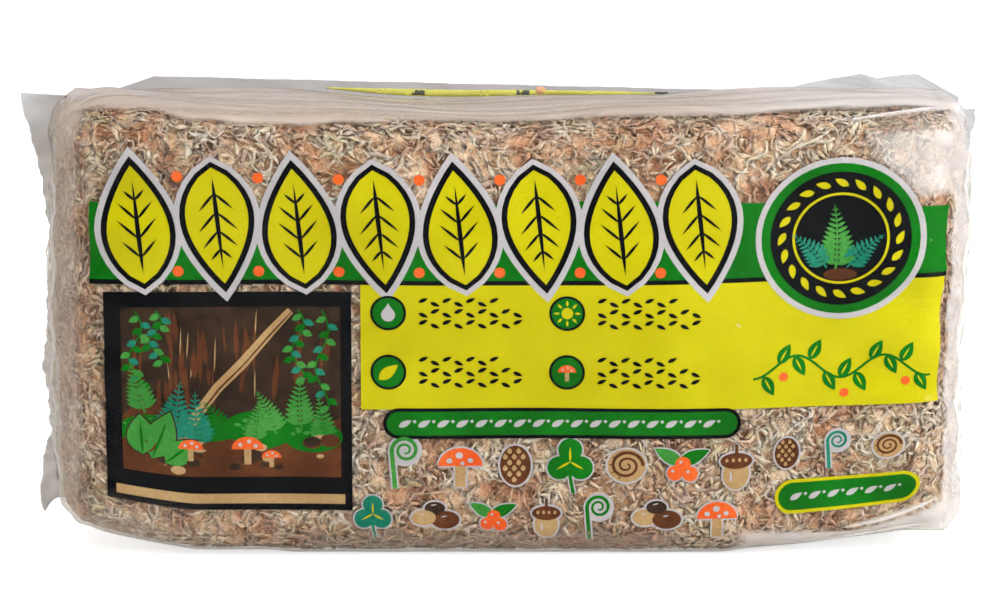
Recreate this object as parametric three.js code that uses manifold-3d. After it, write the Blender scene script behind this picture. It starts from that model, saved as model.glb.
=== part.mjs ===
// Bagged sphagnum moss brick: dried sphagnum moss pressed into a brick and sealed in clear film.
// Millimetres, +Z up. X runs along the brick, Y through its thickness with the front at -Y.
// The brick is shaped about its own centre, and the finished part is then set on its base.
import * as THREE from 'three';
import { mergeVertices } from 'three/addons/utils/BufferGeometryUtils.js';
import Module from 'manifold-3d';

// ---------- driving dimensions ----------

const BRICK_LENGTH = 245;
const BRICK_THICKNESS = 50;
const BRICK_HEIGHT = 124;
const EDGE_ROUND = new THREE.Vector3(12, 12, 9);

const FRONT_CROWN = 2.6;
const BACK_CROWN = 2;
const TOP_SAG = 2.6;
const RIGHT_END_SET_BACK = 2.5;
const LOWER_LEFT_RISE = 7.5;
const LOWER_LEFT_RUN = 36;
const LOWER_LEFT_CURVE = 1.25;
const LOWER_RIGHT_RISE = 6.8;
const LOWER_RIGHT_RUN = 66;
const LOWER_RIGHT_CURVE = 1.6;
const LOWER_RIGHT_TAPER = 2;
const REST_LENGTH = 116;
const REST_WIDTH = 28;
const REST_EDGE_RUN = 10;
const REST_EDGE_LIFT = 0.8;

// Lumps of the pressed moss: their height, and the lengths that their waves repeat over.
const LUMP_HEIGHT = 0.9;
const LUMP_WAVES = { along: 145, drift: 195, up: 120, ripple: 69 };
const RIPPLE_SHARE = 0.6;
const LUMP_FREE_BASE = 24;

// The moss core, and the strands matted into it.
const CORE_DEPTH = 4.6;
const CORE_LUMP = 0.7;
const CORE_LUMP_WAVE = 36;
const CORE_GRID = [12, 2, 6];
const STRAND_PITCH = 20;
const STRAND_LENGTH = [21, 32];
const STRAND_WIDTH = [8, 11];
const STRAND_TOP_DEPTH = [0.3, 1.7];
const STRAND_ROOT_SINK = 1.2;
const STRAND_BEND = 1.3;
const STRAND_STRAY = 0.9;
const STRAND_SIDES = 3;
const STRAND_SEGMENTS = 3;
const STRAND_JITTER = [0.15, 0.85];

// The strands' heading turns slowly over the brick in two waves: turns in radians, lengths in mm.
const COMBING_ALONG = { turn: 1.5, length: 214 };
const COMBING_UP = { turn: 1.4, length: 170, start: 60 };

// The film: thicker than the real 0.08 mm, so that it is a solid.
const FILM_GAP = 0.4;
const FILM_WALL = 0.6;
const FILM_GRID = [24, 6, 12];
const END_TENT = 2.6;
const LOWER_LEFT_SLACK = 0.6;
const LOWER_RIGHT_SLACK = 3.6;
const CORNER_RUN = 13;
const GATHER_HEIGHT = 1.1;
const GATHER_RUN = 42;
const GATHER_WAVE = 41;

// The end seals: folded flat at mid height, flared to ears at the corners. Turns are in degrees.
const SEAL_WALL = 0.8;
const SEAL_ROOT_SINK = 3;
const SEAL_REACH = 0.94;
const SEAL_FLUTTER = 0.7;
const SEAL_GRID = [3, 1, 14];
const FLAT_TURN = 82;
const TURN_WAVER = 8;

// Places on the seal as shares of its half height, from -1 at the foot to 1 at the ear.
const WAVER_LENGTH = 0.9;
const FLUTTER_LENGTH = 0.37;
const EAR_TURN_FROM = 0.4;
const EAR_TURN_CURVE = 1.5;
const EAR_RISE_FROM = 0.55;
const FOOT_TURN_RUN = [0.5, 0.6];

const LEFT_SEAL = { side: -1, width: 11.2, topTurn: 14, lowTurn: 64, earRise: 8 };
const RIGHT_SEAL = { side: 1, width: 10.5, topTurn: 56, lowTurn: 76, earRise: 3 };

// The lengthwise seam, standing along the far top edge. Each station is a place along the brick
// and the height of the seam's free edge there, both from the brick's centre.
const SEAM_CREST = [
  [-112, 61],
  [-100, 65.2],
  [-57, 64.1],
  [48, 61.6],
  [75, 61.2],
  [98, 67],
  [103, 65.8],
  [114, 66.4],
  [122, 60.5],
];
const SEAM_WALL = 0.8;
const SEAM_Y = 20.5;
const SEAM_ROOT_SINK = 5;
const SEAM_WAVE = 28;
const SEAM_WAVINESS = 0.5;
const SEAM_WAVE_LEAN = 7;
const SEAM_GRID = [40, 1, 3];
const CREST_CRUMPLE = 2.2;
const CREST_RUN = [70, 100];

const VENT_DIAMETER = 6;
const VENT_SIDES = 12;
const VENT_X = 88;
const VENT_Z = 34;

const HALF = new THREE.Vector3(BRICK_LENGTH / 2, BRICK_THICKNESS / 2, BRICK_HEIGHT / 2);
const SEED = 4711;

// ---------- small helpers ----------

const wasm = await Module();
wasm.setup();

function seededDraw(seed) {
  const modulus = 4294967296;
  const factor = 1664525;
  const step = 1013904223;
  let state = seed;
  return () => {
    state = (state * factor + step) % modulus;
    return state / modulus;
  };
}

function between([low, high], share) {
  return low + (high - low) * share;
}

function smooth(value, low, high) {
  return THREE.MathUtils.smoothstep(value, low, high);
}

function ramp(value, low, high) {
  return THREE.MathUtils.clamp((value - low) / (high - low), 0, 1);
}

// Moves every vertex of a closed three.js geometry to where place() puts it.
function remould(geometry, place) {
  geometry.deleteAttribute('normal');
  geometry.deleteAttribute('uv');
  const merged = mergeVertices(geometry);
  const position = merged.getAttribute('position');
  const point = new THREE.Vector3();
  for (let index = 0; index < position.count; index += 1) {
    point.fromBufferAttribute(position, index);
    const placed = place(point);
    position.setXYZ(index, placed.x, placed.y, placed.z);
  }
  return merged;
}

function toSolid(geometry) {
  const vertProperties = new Float32Array(geometry.getAttribute('position').array);
  const triVerts = new Uint32Array(geometry.getIndex().array);
  return new wasm.Manifold(new wasm.Mesh({ numProp: 3, vertProperties, triVerts }));
}

function toGeometry(solid) {
  const mesh = solid.getMesh();
  const geometry = new THREE.BufferGeometry();
  geometry.setAttribute('position', new THREE.BufferAttribute(mesh.vertProperties, 3));
  geometry.setIndex(new THREE.BufferAttribute(mesh.triVerts, 1));
  return geometry;
}

// Labels each vertex with the lowest vertex that its triangles link it to.
function linkVertices(triangles, vertexCount) {
  const label = Array.from({ length: vertexCount }, (_, index) => index);
  const find = (vertex) => {
    let root = vertex;
    while (label[root] !== root) {
      root = label[root];
    }
    label[vertex] = root;
    return root;
  };
  for (let at = 0; at < triangles.length; at += 3) {
    const roots = [find(triangles[at]), find(triangles[at + 1]), find(triangles[at + 2])];
    const lowest = Math.min(...roots);
    roots.forEach((root) => {
      label[root] = lowest;
    });
  }
  return label.map((_, vertex) => find(vertex));
}

// Keeps the largest body alone: a hollow that the strands closed off is filled, a scrap dropped.
function largestBody(geometry) {
  const position = geometry.getAttribute('position');
  const triangles = geometry.getIndex().array;
  const label = linkVertices(triangles, position.count);
  const corners = new Map();
  for (let at = 0; at < triangles.length; at += 3) {
    const body = label[triangles[at]];
    if (!corners.has(body)) {
      corners.set(body, []);
    }
    corners.get(body).push(...triangles.slice(at, at + 3));
  }
  const largest = [...corners.values()].reduce((a, b) => (a.length > b.length ? a : b));
  const kept = new THREE.BufferGeometry();
  kept.setAttribute('position', position);
  kept.setIndex(largest);
  return mergeVertices(kept.toNonIndexed(), 0);
}

// ---------- the form that moss and film share ----------

function wave(distance, length) {
  return Math.sin((distance * Math.PI * 2) / length);
}

// Broad lumps with a finer ripple, fading out towards the underside that the brick rests on.
function lump(q) {
  const broad = wave(q.x + (q.z * LUMP_WAVES.along) / LUMP_WAVES.drift, LUMP_WAVES.along);
  const rising = wave(q.z + LUMP_WAVES.up / 4, LUMP_WAVES.up);
  const ripple = wave(q.x + q.y, LUMP_WAVES.ripple);
  const awayFromBase = smooth(q.z, -HALF.z, -HALF.z + LUMP_FREE_BASE);
  return LUMP_HEIGHT * (broad * rising + RIPPLE_SHARE * ripple) * awayFromBase;
}

// The point of the rounded box nearest to q, raised by lift along the surface's normal.
function onRoundedBox(q, lift) {
  const inner = new THREE.Vector3().subVectors(HALF, EDGE_ROUND);
  const core = q.clone().clamp(inner.clone().negate(), inner);
  const direction = q.clone().sub(core).divide(EDGE_ROUND).normalize();
  const normal = direction.clone().divide(EDGE_ROUND).normalize();
  return core.add(direction.multiply(EDGE_ROUND)).addScaledVector(normal, lift);
}

// Crowns the two large faces, sags the top and lets the lower corners rise off the ground.
function settle(p) {
  const across = 1 - Math.min(1, (p.x / HALF.x) ** 2);
  const upward = 1 - Math.min(1, (p.z / HALF.z) ** 2);
  const crown = p.y < 0 ? FRONT_CROWN : BACK_CROWN;
  p.y += crown * (p.y / HALF.y) * across * upward;
  p.y += RIGHT_END_SET_BACK * smooth(p.x, HALF.x / 3, HALF.x);

  const topShare = smooth(p.z, 0, HALF.z);
  p.z -= TOP_SAG * topShare * across;

  const baseShare = smooth(-p.z, 0, HALF.z);
  const leftRise = LOWER_LEFT_RISE * ramp(-p.x, HALF.x - LOWER_LEFT_RUN, HALF.x) ** LOWER_LEFT_CURVE;
  const rightRise = LOWER_RIGHT_RISE * ramp(p.x, HALF.x - LOWER_RIGHT_RUN, HALF.x) ** LOWER_RIGHT_CURVE;
  const pastRestX = smooth(Math.abs(p.x), REST_LENGTH / 2, REST_LENGTH / 2 + REST_EDGE_RUN);
  const pastRestY = smooth(Math.abs(p.y), REST_WIDTH / 2, REST_WIDTH / 2 + REST_EDGE_RUN);
  const edgeLift = REST_EDGE_LIFT * Math.max(pastRestX, pastRestY);
  p.z += baseShare * (leftRise + rightRise + edgeLift);
  p.x -= LOWER_RIGHT_TAPER * ramp(-p.z, -HALF.z / 3, HALF.z) * smooth(p.x, 0, HALF.x);
  return p;
}

function onBrick(q, lift) {
  return settle(onRoundedBox(q, lift + lump(q)));
}

// Spreads even grid steps so that more of them fall on the rounded edges.
const EDGE_CROWDING = 0.55;

function crowdToEdges(share) {
  return (1 - EDGE_CROWDING) * share + EDGE_CROWDING * Math.sin((share * Math.PI) / 2);
}

function brickShell(columns, layers, rows, liftAt) {
  const grid = new THREE.BoxGeometry(2, 2, 2, columns, layers, rows);
  return remould(grid, (share) => {
    const q = new THREE.Vector3(crowdToEdges(share.x), crowdToEdges(share.y), crowdToEdges(share.z));
    q.multiply(HALF);
    return onBrick(q, liftAt(q));
  });
}

// ---------- the moss ----------

const FACES = [
  { normal: 'y', sign: -1, along: 'x', across: 'z' },
  { normal: 'y', sign: 1, along: 'x', across: 'z' },
  { normal: 'z', sign: 1, along: 'x', across: 'y' },
  { normal: 'z', sign: -1, along: 'x', across: 'y' },
  { normal: 'x', sign: -1, along: 'z', across: 'y' },
  { normal: 'x', sign: 1, along: 'z', across: 'y' },
];

// The strand's section starts as a triangle in a unit circle: its ridge stands 1 above the middle,
// and its two feet lie this far below it and this far apart.
const FOOT_DROP = 0.5;
const FOOT_SPREAD = Math.sqrt(3);
const PATH_STEP = 0.05;

function coreLump(q) {
  return CORE_LUMP * wave(q.x + q.y, CORE_LUMP_WAVE) * wave(q.z - q.y, CORE_LUMP_WAVE);
}

function mossCore() {
  return brickShell(...CORE_GRID, (q) => -CORE_DEPTH + coreLump(q));
}

// The way the strands were pressed to lie, turning slowly over the brick.
function combing(q) {
  const along = COMBING_ALONG.turn * wave(q.x + 2 * q.y, COMBING_ALONG.length);
  const up = COMBING_UP.turn * wave(q.z - q.x / 2 + COMBING_UP.start, COMBING_UP.length);
  return along + up;
}

// One bent strand, pointed at both ends, lying on the core with its roots sunk in.
function strand(face, centre, draw) {
  const length = between(STRAND_LENGTH, draw());
  const width = between(STRAND_WIDTH, draw());
  const topDepth = between(STRAND_TOP_DEPTH, draw());
  const heading = combing(centre) + (draw() - 0.5) * STRAND_STRAY * 2;
  const bend = (draw() - 0.5) * STRAND_BEND * 2;
  const height = (CORE_DEPTH + STRAND_ROOT_SINK - topDepth) / (1 + FOOT_DROP);

  const pathPoint = (share) => {
    const turn = heading + bend * share * 0.5;
    const q = centre.clone();
    q[face.along] += (Math.cos(turn) * length * share) / 2;
    q[face.across] += (Math.sin(turn) * length * share) / 2;
    return q;
  };

  return remould(new THREE.SphereGeometry(1, STRAND_SIDES, STRAND_SEGMENTS), (unit) => {
    const q = pathPoint(unit.y);
    const foot = onBrick(q, 0);
    const up = onBrick(q, 1).sub(foot).normalize();
    const ahead = onBrick(pathPoint(unit.y + PATH_STEP), 0);
    const behind = onBrick(pathPoint(unit.y - PATH_STEP), 0);
    const side = ahead.sub(behind).cross(up).normalize();
    const lift = -topDepth - height - unit.x * height;
    return foot.addScaledVector(up, lift).addScaledVector(side, (unit.z * width) / FOOT_SPREAD);
  });
}

// Jittered places over one face, one strand to a cell.
function strandsOnFace(face, draw) {
  const strands = [];
  const alongCount = Math.round((HALF[face.along] * 2) / STRAND_PITCH);
  const acrossCount = Math.round((HALF[face.across] * 2) / STRAND_PITCH);
  const placed = (cell, count) => ((cell + between(STRAND_JITTER, draw())) / count) * 2 - 1;
  for (let i = 0; i < alongCount; i += 1) {
    for (let j = 0; j < acrossCount; j += 1) {
      const centre = new THREE.Vector3();
      centre[face.normal] = face.sign * HALF[face.normal];
      centre[face.along] = placed(i, alongCount) * HALF[face.along];
      centre[face.across] = placed(j, acrossCount) * HALF[face.across];
      strands.push(strand(face, centre, draw));
    }
  }
  return strands;
}

function mossBlock() {
  const draw = seededDraw(SEED);
  const strands = FACES.flatMap((face) => strandsOnFace(face, draw));
  let matted = toSolid(mossCore());
  for (const geometry of strands) {
    matted = matted.add(toSolid(geometry));
  }
  const insideOfBag = brickShell(...FILM_GRID, () => 0);
  return largestBody(toGeometry(matted.intersect(toSolid(insideOfBag))));
}

// ---------- the film bag ----------

// How far the film stands off the moss: tented to the seals, gathered near the ends.
function slack(q) {
  const endShare = smooth(Math.abs(q.x), HALF.x - CORNER_RUN / 2, HALF.x);
  const tent = END_TENT * endShare * (1 - Math.min(1, Math.abs(q.y) / HALF.y));
  const gatherShare = smooth(Math.abs(q.x), HALF.x - GATHER_RUN, HALF.x - EDGE_ROUND.x);
  const awayFromBase = smooth(q.z, -HALF.z, -HALF.z + LUMP_FREE_BASE);
  const pleat = wave(q.z + q.x / 3 + q.y, GATHER_WAVE) ** 2;
  const gather = GATHER_HEIGHT * gatherShare * awayFromBase * pleat;
  const nearEnd = smooth(Math.abs(q.x), HALF.x - CORNER_RUN, HALF.x);
  const nearBase = smooth(-q.z, HALF.z - CORNER_RUN, HALF.z);
  const cornerSlack = q.x < 0 ? LOWER_LEFT_SLACK : LOWER_RIGHT_SLACK;
  return tent + gather + cornerSlack * nearEnd * nearBase;
}

// Folds flat towards the back at mid height and turns outwards to an ear at each corner.
function sealTurn(heightShare, topTurn, lowTurn) {
  const towardTop = ramp(heightShare, EAR_TURN_FROM, 1) ** EAR_TURN_CURVE;
  const towardFoot = smooth(-heightShare, ...FOOT_TURN_RUN);
  const waver = TURN_WAVER * (1 - towardTop) * wave(heightShare, WAVER_LENGTH);
  const lean = (topTurn - FLAT_TURN) * towardTop + (lowTurn - FLAT_TURN) * towardFoot;
  const degrees = FLAT_TURN + waver + lean;
  return THREE.MathUtils.degToRad(degrees);
}

function endSeal({ side, width, topTurn, lowTurn, earRise }) {
  const grid = new THREE.BoxGeometry(2, 2, 2, ...SEAL_GRID);
  return remould(grid, (share) => {
    const widthShare = (share.x + 1) / 2;
    const heightShare = share.z;
    const seamLine = new THREE.Vector3(side * HALF.x, 0, heightShare * HALF.z * SEAL_REACH);
    const root = onBrick(seamLine, FILM_GAP + END_TENT);
    const turn = sealTurn(heightShare, topTurn, lowTurn);
    const reach = widthShare * (width + SEAL_ROOT_SINK) - SEAL_ROOT_SINK;
    const outward = new THREE.Vector3(side * Math.cos(turn), Math.sin(turn), 0);
    const faceNormal = new THREE.Vector3(side * Math.sin(turn), -Math.cos(turn), 0);
    const rise = earRise * widthShare ** 2 * smooth(heightShare, EAR_RISE_FROM, 1);
    const flutter = SEAL_FLUTTER * widthShare * wave(heightShare, FLUTTER_LENGTH);
    root.addScaledVector(outward, reach);
    root.addScaledVector(faceNormal, (-share.y * side * SEAL_WALL) / 2 + flutter);
    root.z += rise;
    return root;
  });
}

// The free edge is straight along most of the brick and crumpled into a crest near the right end.
function seamCrest(x) {
  const next = Math.max(1, SEAM_CREST.findIndex(([station]) => station >= x));
  const [fromX, fromZ] = SEAM_CREST[next - 1];
  const [toX, toZ] = SEAM_CREST[next];
  return between([fromZ, toZ], ramp(x, fromX, toX));
}

function standingSeam() {
  const grid = new THREE.BoxGeometry(2, 2, 2, ...SEAM_GRID);
  const ends = [SEAM_CREST[0][0], SEAM_CREST.at(-1)[0]];
  return remould(grid, (share) => {
    const x = between(ends, (share.x + 1) / 2);
    const climb = (share.z + 1) / 2;
    const root = onBrick(new THREE.Vector3(x, SEAM_Y - EDGE_ROUND.y, HALF.z), -SEAM_ROOT_SINK);
    const crumple = SEAM_WAVINESS + CREST_CRUMPLE * smooth(x, ...CREST_RUN);
    const sway = climb * crumple * wave(x + SEAM_WAVE_LEAN * climb, SEAM_WAVE);
    const y = SEAM_Y + sway + (share.y * SEAM_WALL) / 2;
    return new THREE.Vector3(x, y, between([root.z, seamCrest(x)], climb));
  });
}

function ventPunch(side) {
  const punch = new THREE.CylinderGeometry(VENT_DIAMETER / 2, VENT_DIAMETER / 2, HALF.y, VENT_SIDES);
  const place = new THREE.Vector3(side * VENT_X, HALF.y + BACK_CROWN, VENT_Z);
  return remould(punch, (p) => p.clone().add(place));
}

function filmBag() {
  const outside = brickShell(...FILM_GRID, (q) => FILM_GAP + FILM_WALL + slack(q));
  const inside = brickShell(...FILM_GRID, (q) => FILM_GAP + slack(q));
  let bag = toSolid(outside);
  bag = bag.add(toSolid(endSeal(LEFT_SEAL)));
  bag = bag.add(toSolid(endSeal(RIGHT_SEAL)));
  bag = bag.add(toSolid(standingSeam()));
  bag = bag.subtract(toSolid(inside));
  bag = bag.subtract(toSolid(ventPunch(-1)));
  bag = bag.subtract(toSolid(ventPunch(1)));
  return toGeometry(bag);
}

// ---------- the finished part ----------

const mossFinish = new THREE.MeshStandardMaterial({ color: 0xbc9e81, roughness: 0.95, metalness: 0 });
const filmFinish = new THREE.MeshStandardMaterial({
  color: 0xdedcd8,
  roughness: 0.2,
  metalness: 0,
  transparent: true,
  opacity: 0.3,
});

const moss = new THREE.Mesh(mossBlock(), mossFinish);
moss.name = 'moss_block';
const film = new THREE.Mesh(filmBag(), filmFinish);
film.name = 'film_bag';

// Sets the part on its base, with the origin under the middle of its outline.
const outline = new THREE.Box3().setFromObject(film);
const middle = outline.getCenter(new THREE.Vector3());
const part = new THREE.Group();
part.add(moss, film);
part.position.set(-middle.x, -middle.y, -outline.min.z);
part.updateMatrixWorld(true);

export default part;
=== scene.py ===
# %% [markdown]
# # A pressed brick of sphagnum moss in a clear printed film bag
# The real thing is a block of dried moss, pressed hard and slipped into a tube of clear
# polyethylene film. Two end seals and one lengthwise seam close the tube, and the front is
# printed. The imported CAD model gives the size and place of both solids, and every piece made
# here takes its shape from the same named sizes, so that it lies where the solid lies.

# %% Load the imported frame
import math

import bmesh
import bpy
import numpy as np
from mathutils import Matrix, Vector, noise


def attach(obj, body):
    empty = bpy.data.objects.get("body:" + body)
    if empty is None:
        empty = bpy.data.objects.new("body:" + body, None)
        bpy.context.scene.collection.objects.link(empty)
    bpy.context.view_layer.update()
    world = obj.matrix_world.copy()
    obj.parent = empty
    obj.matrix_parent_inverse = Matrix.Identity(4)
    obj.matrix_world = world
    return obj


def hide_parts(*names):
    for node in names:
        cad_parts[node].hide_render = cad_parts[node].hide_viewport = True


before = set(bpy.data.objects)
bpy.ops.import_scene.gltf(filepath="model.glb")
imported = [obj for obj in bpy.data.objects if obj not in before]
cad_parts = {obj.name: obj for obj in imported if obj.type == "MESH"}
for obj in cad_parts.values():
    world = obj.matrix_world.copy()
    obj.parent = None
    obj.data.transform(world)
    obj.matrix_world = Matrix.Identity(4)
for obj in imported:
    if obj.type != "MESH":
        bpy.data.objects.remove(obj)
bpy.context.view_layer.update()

MM = 0.001

# %% [markdown]
# ## Camera
# A long lens from a metre away flattens the pack, as product shots do. The camera stands in
# front of the pack and looks down by eleven degrees, so that a little of the top shows.

# %% Camera
ELEVATION = math.radians(11)
CAMERA_DISTANCE = 1.090
LENS = 141.3
TARGET = Vector((0, 0, 0.063))
AIM_SHIFT = (-0.0006, 0.0043)

towards_camera = Vector((0, -math.cos(ELEVATION), math.sin(ELEVATION)))
view_up = Vector((0, math.sin(ELEVATION), math.cos(ELEVATION)))
aim = TARGET + Vector((AIM_SHIFT[0], 0, 0)) + view_up * AIM_SHIFT[1]

camera_data = bpy.data.cameras.new("camera")
camera_data.lens = LENS
camera_data.sensor_width = 36
camera_data.clip_start = 0.01
camera = bpy.data.objects.new("camera", camera_data)
camera.location = TARGET + towards_camera * CAMERA_DISTANCE
camera.rotation_euler = (aim - camera.location).to_track_quat("-Z", "Y").to_euler()
bpy.context.scene.collection.objects.link(camera)
bpy.context.scene.camera = camera
print("camera at", [round(c, 3) for c in camera.location])

# %% [markdown]
# ## Colours and nodes
# Colours are written as the sRGB hex values that a colour picker shows. Cycles works in
# linear light, so one function turns them over. One more function adds a node, sets its
# sockets and links them.


# %% Colour and node helpers
def linear(hex_code):
    channels = [int(hex_code[at : at + 2], 16) / 255 for at in (1, 3, 5)]
    return [c / 12.92 if c <= 0.04045 else ((c + 0.055) / 1.055) ** 2.4 for c in channels] + [1]


def add_node(tree, kind, sockets=None, **settings):
    node = tree.nodes.new(kind)
    for name, value in settings.items():
        setattr(node, name, value)
    for key, value in (sockets or {}).items():
        if isinstance(value, bpy.types.NodeSocket):
            tree.links.new(value, node.inputs[key])
        else:
            node.inputs[key].default_value = value
    return node


def new_material(name):
    material = bpy.data.materials.new(name)
    material.use_nodes = True
    material.node_tree.nodes.clear()
    return material, material.node_tree


# %% [markdown]
# ## Floor and light
# The pack stands on a plain white sweep. A large softbox overhead and a second one in front
# light it softly, and a small one at each side puts a sheen on the film round the ends. The
# room behind the camera is dim, so that the film over the print stays clear, while the film on
# top mirrors the bright sweep. The two large boxes are kept out of reflections.

# %% Floor
SWEEP_GLOW = 0.7
floor_shape = bmesh.new()
bmesh.ops.create_grid(floor_shape, x_segments=1, y_segments=1, size=6)
floor_mesh = bpy.data.meshes.new("floor")
floor_shape.to_mesh(floor_mesh)
floor_shape.free()
floor = bpy.data.objects.new("floor", floor_mesh)
bpy.context.scene.collection.objects.link(floor)

floor_finish, tree = new_material("white_paper_sweep")
seen = add_node(tree, "ShaderNodeLightPath")
lit_share = add_node(
    tree, "ShaderNodeMath", {0: seen.outputs["Is Camera Ray"], 1: SWEEP_GLOW}, operation="MULTIPLY"
)
paper = add_node(
    tree, "ShaderNodeBsdfPrincipled", {"Base Color": linear("#efefec"), "Roughness": 0.9}
)
lit_from_behind = add_node(
    tree, "ShaderNodeEmission", {"Color": linear("#ffffff"), "Strength": lit_share.outputs[0]}
)
sweep = add_node(
    tree, "ShaderNodeAddShader", {0: paper.outputs["BSDF"], 1: lit_from_behind.outputs[0]}
)
add_node(tree, "ShaderNodeOutputMaterial", {"Surface": sweep.outputs[0]})
floor_mesh.materials.append(floor_finish)
print("floor:", floor_finish.name)

# %% Softboxes: place and size in metres, watts, and whether the film mirrors them
SOFTBOXES = {
    "softbox_top": ((-0.1, -0.45, 1.2), (1.2, 0.8), 11, False),
    "softbox_front": ((0.45, -1.4, 0.75), (1.2, 0.8), 7, False),
    "softbox_right": ((0.75, -0.5, 0.38), (0.3, 0.45), 7, True),
    "softbox_left": ((-1.3, -0.25, 0.4), (0.4, 0.5), 5, True),
}
for name, (place, size, watts, mirrored) in SOFTBOXES.items():
    light = bpy.data.lights.new(name, "AREA")
    light.shape = "RECTANGLE"
    light.size, light.size_y = size
    light.energy = watts
    box = bpy.data.objects.new(name, light)
    box.location = place
    box.rotation_euler = (TARGET - box.location).to_track_quat("-Z", "Y").to_euler()
    box.visible_glossy = mirrored
    bpy.context.scene.collection.objects.link(box)
print("softboxes:", ", ".join(SOFTBOXES))

# %% The room
ROOM_BEHIND_CAMERA, ROOM_BEHIND_PACK = 0.1, 1.0
ROOM_AT_LEFT, ROOM_AT_RIGHT = 0.55, 1.0
FILM_LAYERS_SEEN_THROUGH = 24
world = bpy.data.worlds.new("studio")
world.use_nodes = True
world.node_tree.nodes.clear()
bpy.context.scene.world = world
tree = world.node_tree
seen = add_node(tree, "ShaderNodeLightPath")
looking = add_node(tree, "ShaderNodeTexCoord")
axes = add_node(tree, "ShaderNodeSeparateXYZ", {0: looking.outputs["Generated"]})
backdrop = add_node(
    tree,
    "ShaderNodeMapRange",
    {0: axes.outputs["Y"], 1: -0.3, 2: 0.7, 3: ROOM_BEHIND_CAMERA, 4: ROOM_BEHIND_PACK},
)
right_side = add_node(
    tree,
    "ShaderNodeMapRange",
    {0: axes.outputs["X"], 1: -0.7, 2: 0.9, 3: ROOM_AT_LEFT, 4: ROOM_AT_RIGHT},
)
room = add_node(
    tree,
    "ShaderNodeMath",
    {0: backdrop.outputs[0], 1: right_side.outputs[0]},
    operation="MULTIPLY",
)
white = add_node(tree, "ShaderNodeBackground", {"Color": linear("#ffffff"), "Strength": 1.0})
dim = add_node(
    tree, "ShaderNodeBackground", {"Color": linear("#fdfcff"), "Strength": room.outputs[0]}
)
both = add_node(
    tree,
    "ShaderNodeMixShader",
    {0: seen.outputs["Is Camera Ray"], 1: dim.outputs[0], 2: white.outputs[0]},
)
add_node(tree, "ShaderNodeOutputWorld", {"Surface": both.outputs[0]})
bpy.context.scene.view_settings.view_transform = "Standard"
bpy.context.scene.cycles.transparent_max_bounces = FILM_LAYERS_SEEN_THROUGH
print("room:", world.name)

# %% [markdown]
# ## The form that moss and film share
# A pressed brick has round edges, a slight belly on its large faces, a sagging top and lower
# corners that lift off the shelf. It rests on a flat spot under its middle. The form is a
# rounded box whose points are raised by a lift in millimetres and then settled. Moss lies
# below the form's surface, film just above it.

# %% Sizes, in millimetres about the brick's own centre
HALF = np.array([122.5, 25.0, 62.0])
EDGE_ROUND = np.array([12.0, 12.0, 9.0])
BRICK_CENTRE = np.array([2.62, 0.342, 63.0])
FRONT_CROWN, BACK_CROWN = 2.6, 2.0
TOP_SAG = 2.6
RIGHT_END_SET_BACK = 2.5
LOWER_LEFT_RISE, LOWER_LEFT_RUN = 7.5, 36
LOWER_RIGHT_RISE, LOWER_RIGHT_RUN = 6.8, 66
LOWER_RIGHT_TAPER = 2.0
REST_HALF_LENGTH, REST_HALF_WIDTH, REST_EDGE_RUN, REST_EDGE_LIFT = 58, 14, 10, 0.8
LUMP_HEIGHT, LUMP_ALONG, LUMP_DRIFT, LUMP_UP, LUMP_RIPPLE = 0.9, 145, 195, 120, 69
LUMP_FREE_BASE = 24
X, Y, Z = 0, 1, 2
print("brick form in mm:", (2 * HALF).round(1))


# %% Small curves
def smooth(value, low, high):
    share = np.clip((value - low) / (high - low), 0, 1)
    return share * share * (3 - 2 * share)


def ramp(value, low, high):
    return np.clip((value - low) / (high - low), 0, 1)


def wave(distance, length):
    return np.sin(2 * np.pi * distance / length)


# %% The form
def lump(q):
    broad = wave(q[:, X] + q[:, Z] * LUMP_ALONG / LUMP_DRIFT, LUMP_ALONG)
    rising = wave(q[:, Z] + LUMP_UP / 4, LUMP_UP)
    ripple = wave(q[:, X] + q[:, Y], LUMP_RIPPLE)
    away_from_base = smooth(q[:, Z], -HALF[Z], -HALF[Z] + LUMP_FREE_BASE)
    return LUMP_HEIGHT * (broad * rising + 0.6 * ripple) * away_from_base


def on_rounded_box(q, lift):
    core = np.clip(q, EDGE_ROUND - HALF, HALF - EDGE_ROUND)
    direction = (q - core) / EDGE_ROUND
    direction /= np.linalg.norm(direction, axis=1, keepdims=True)
    normal = direction / EDGE_ROUND
    normal /= np.linalg.norm(normal, axis=1, keepdims=True)
    return core + direction * EDGE_ROUND + normal * np.reshape(lift, (-1, 1))


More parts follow.
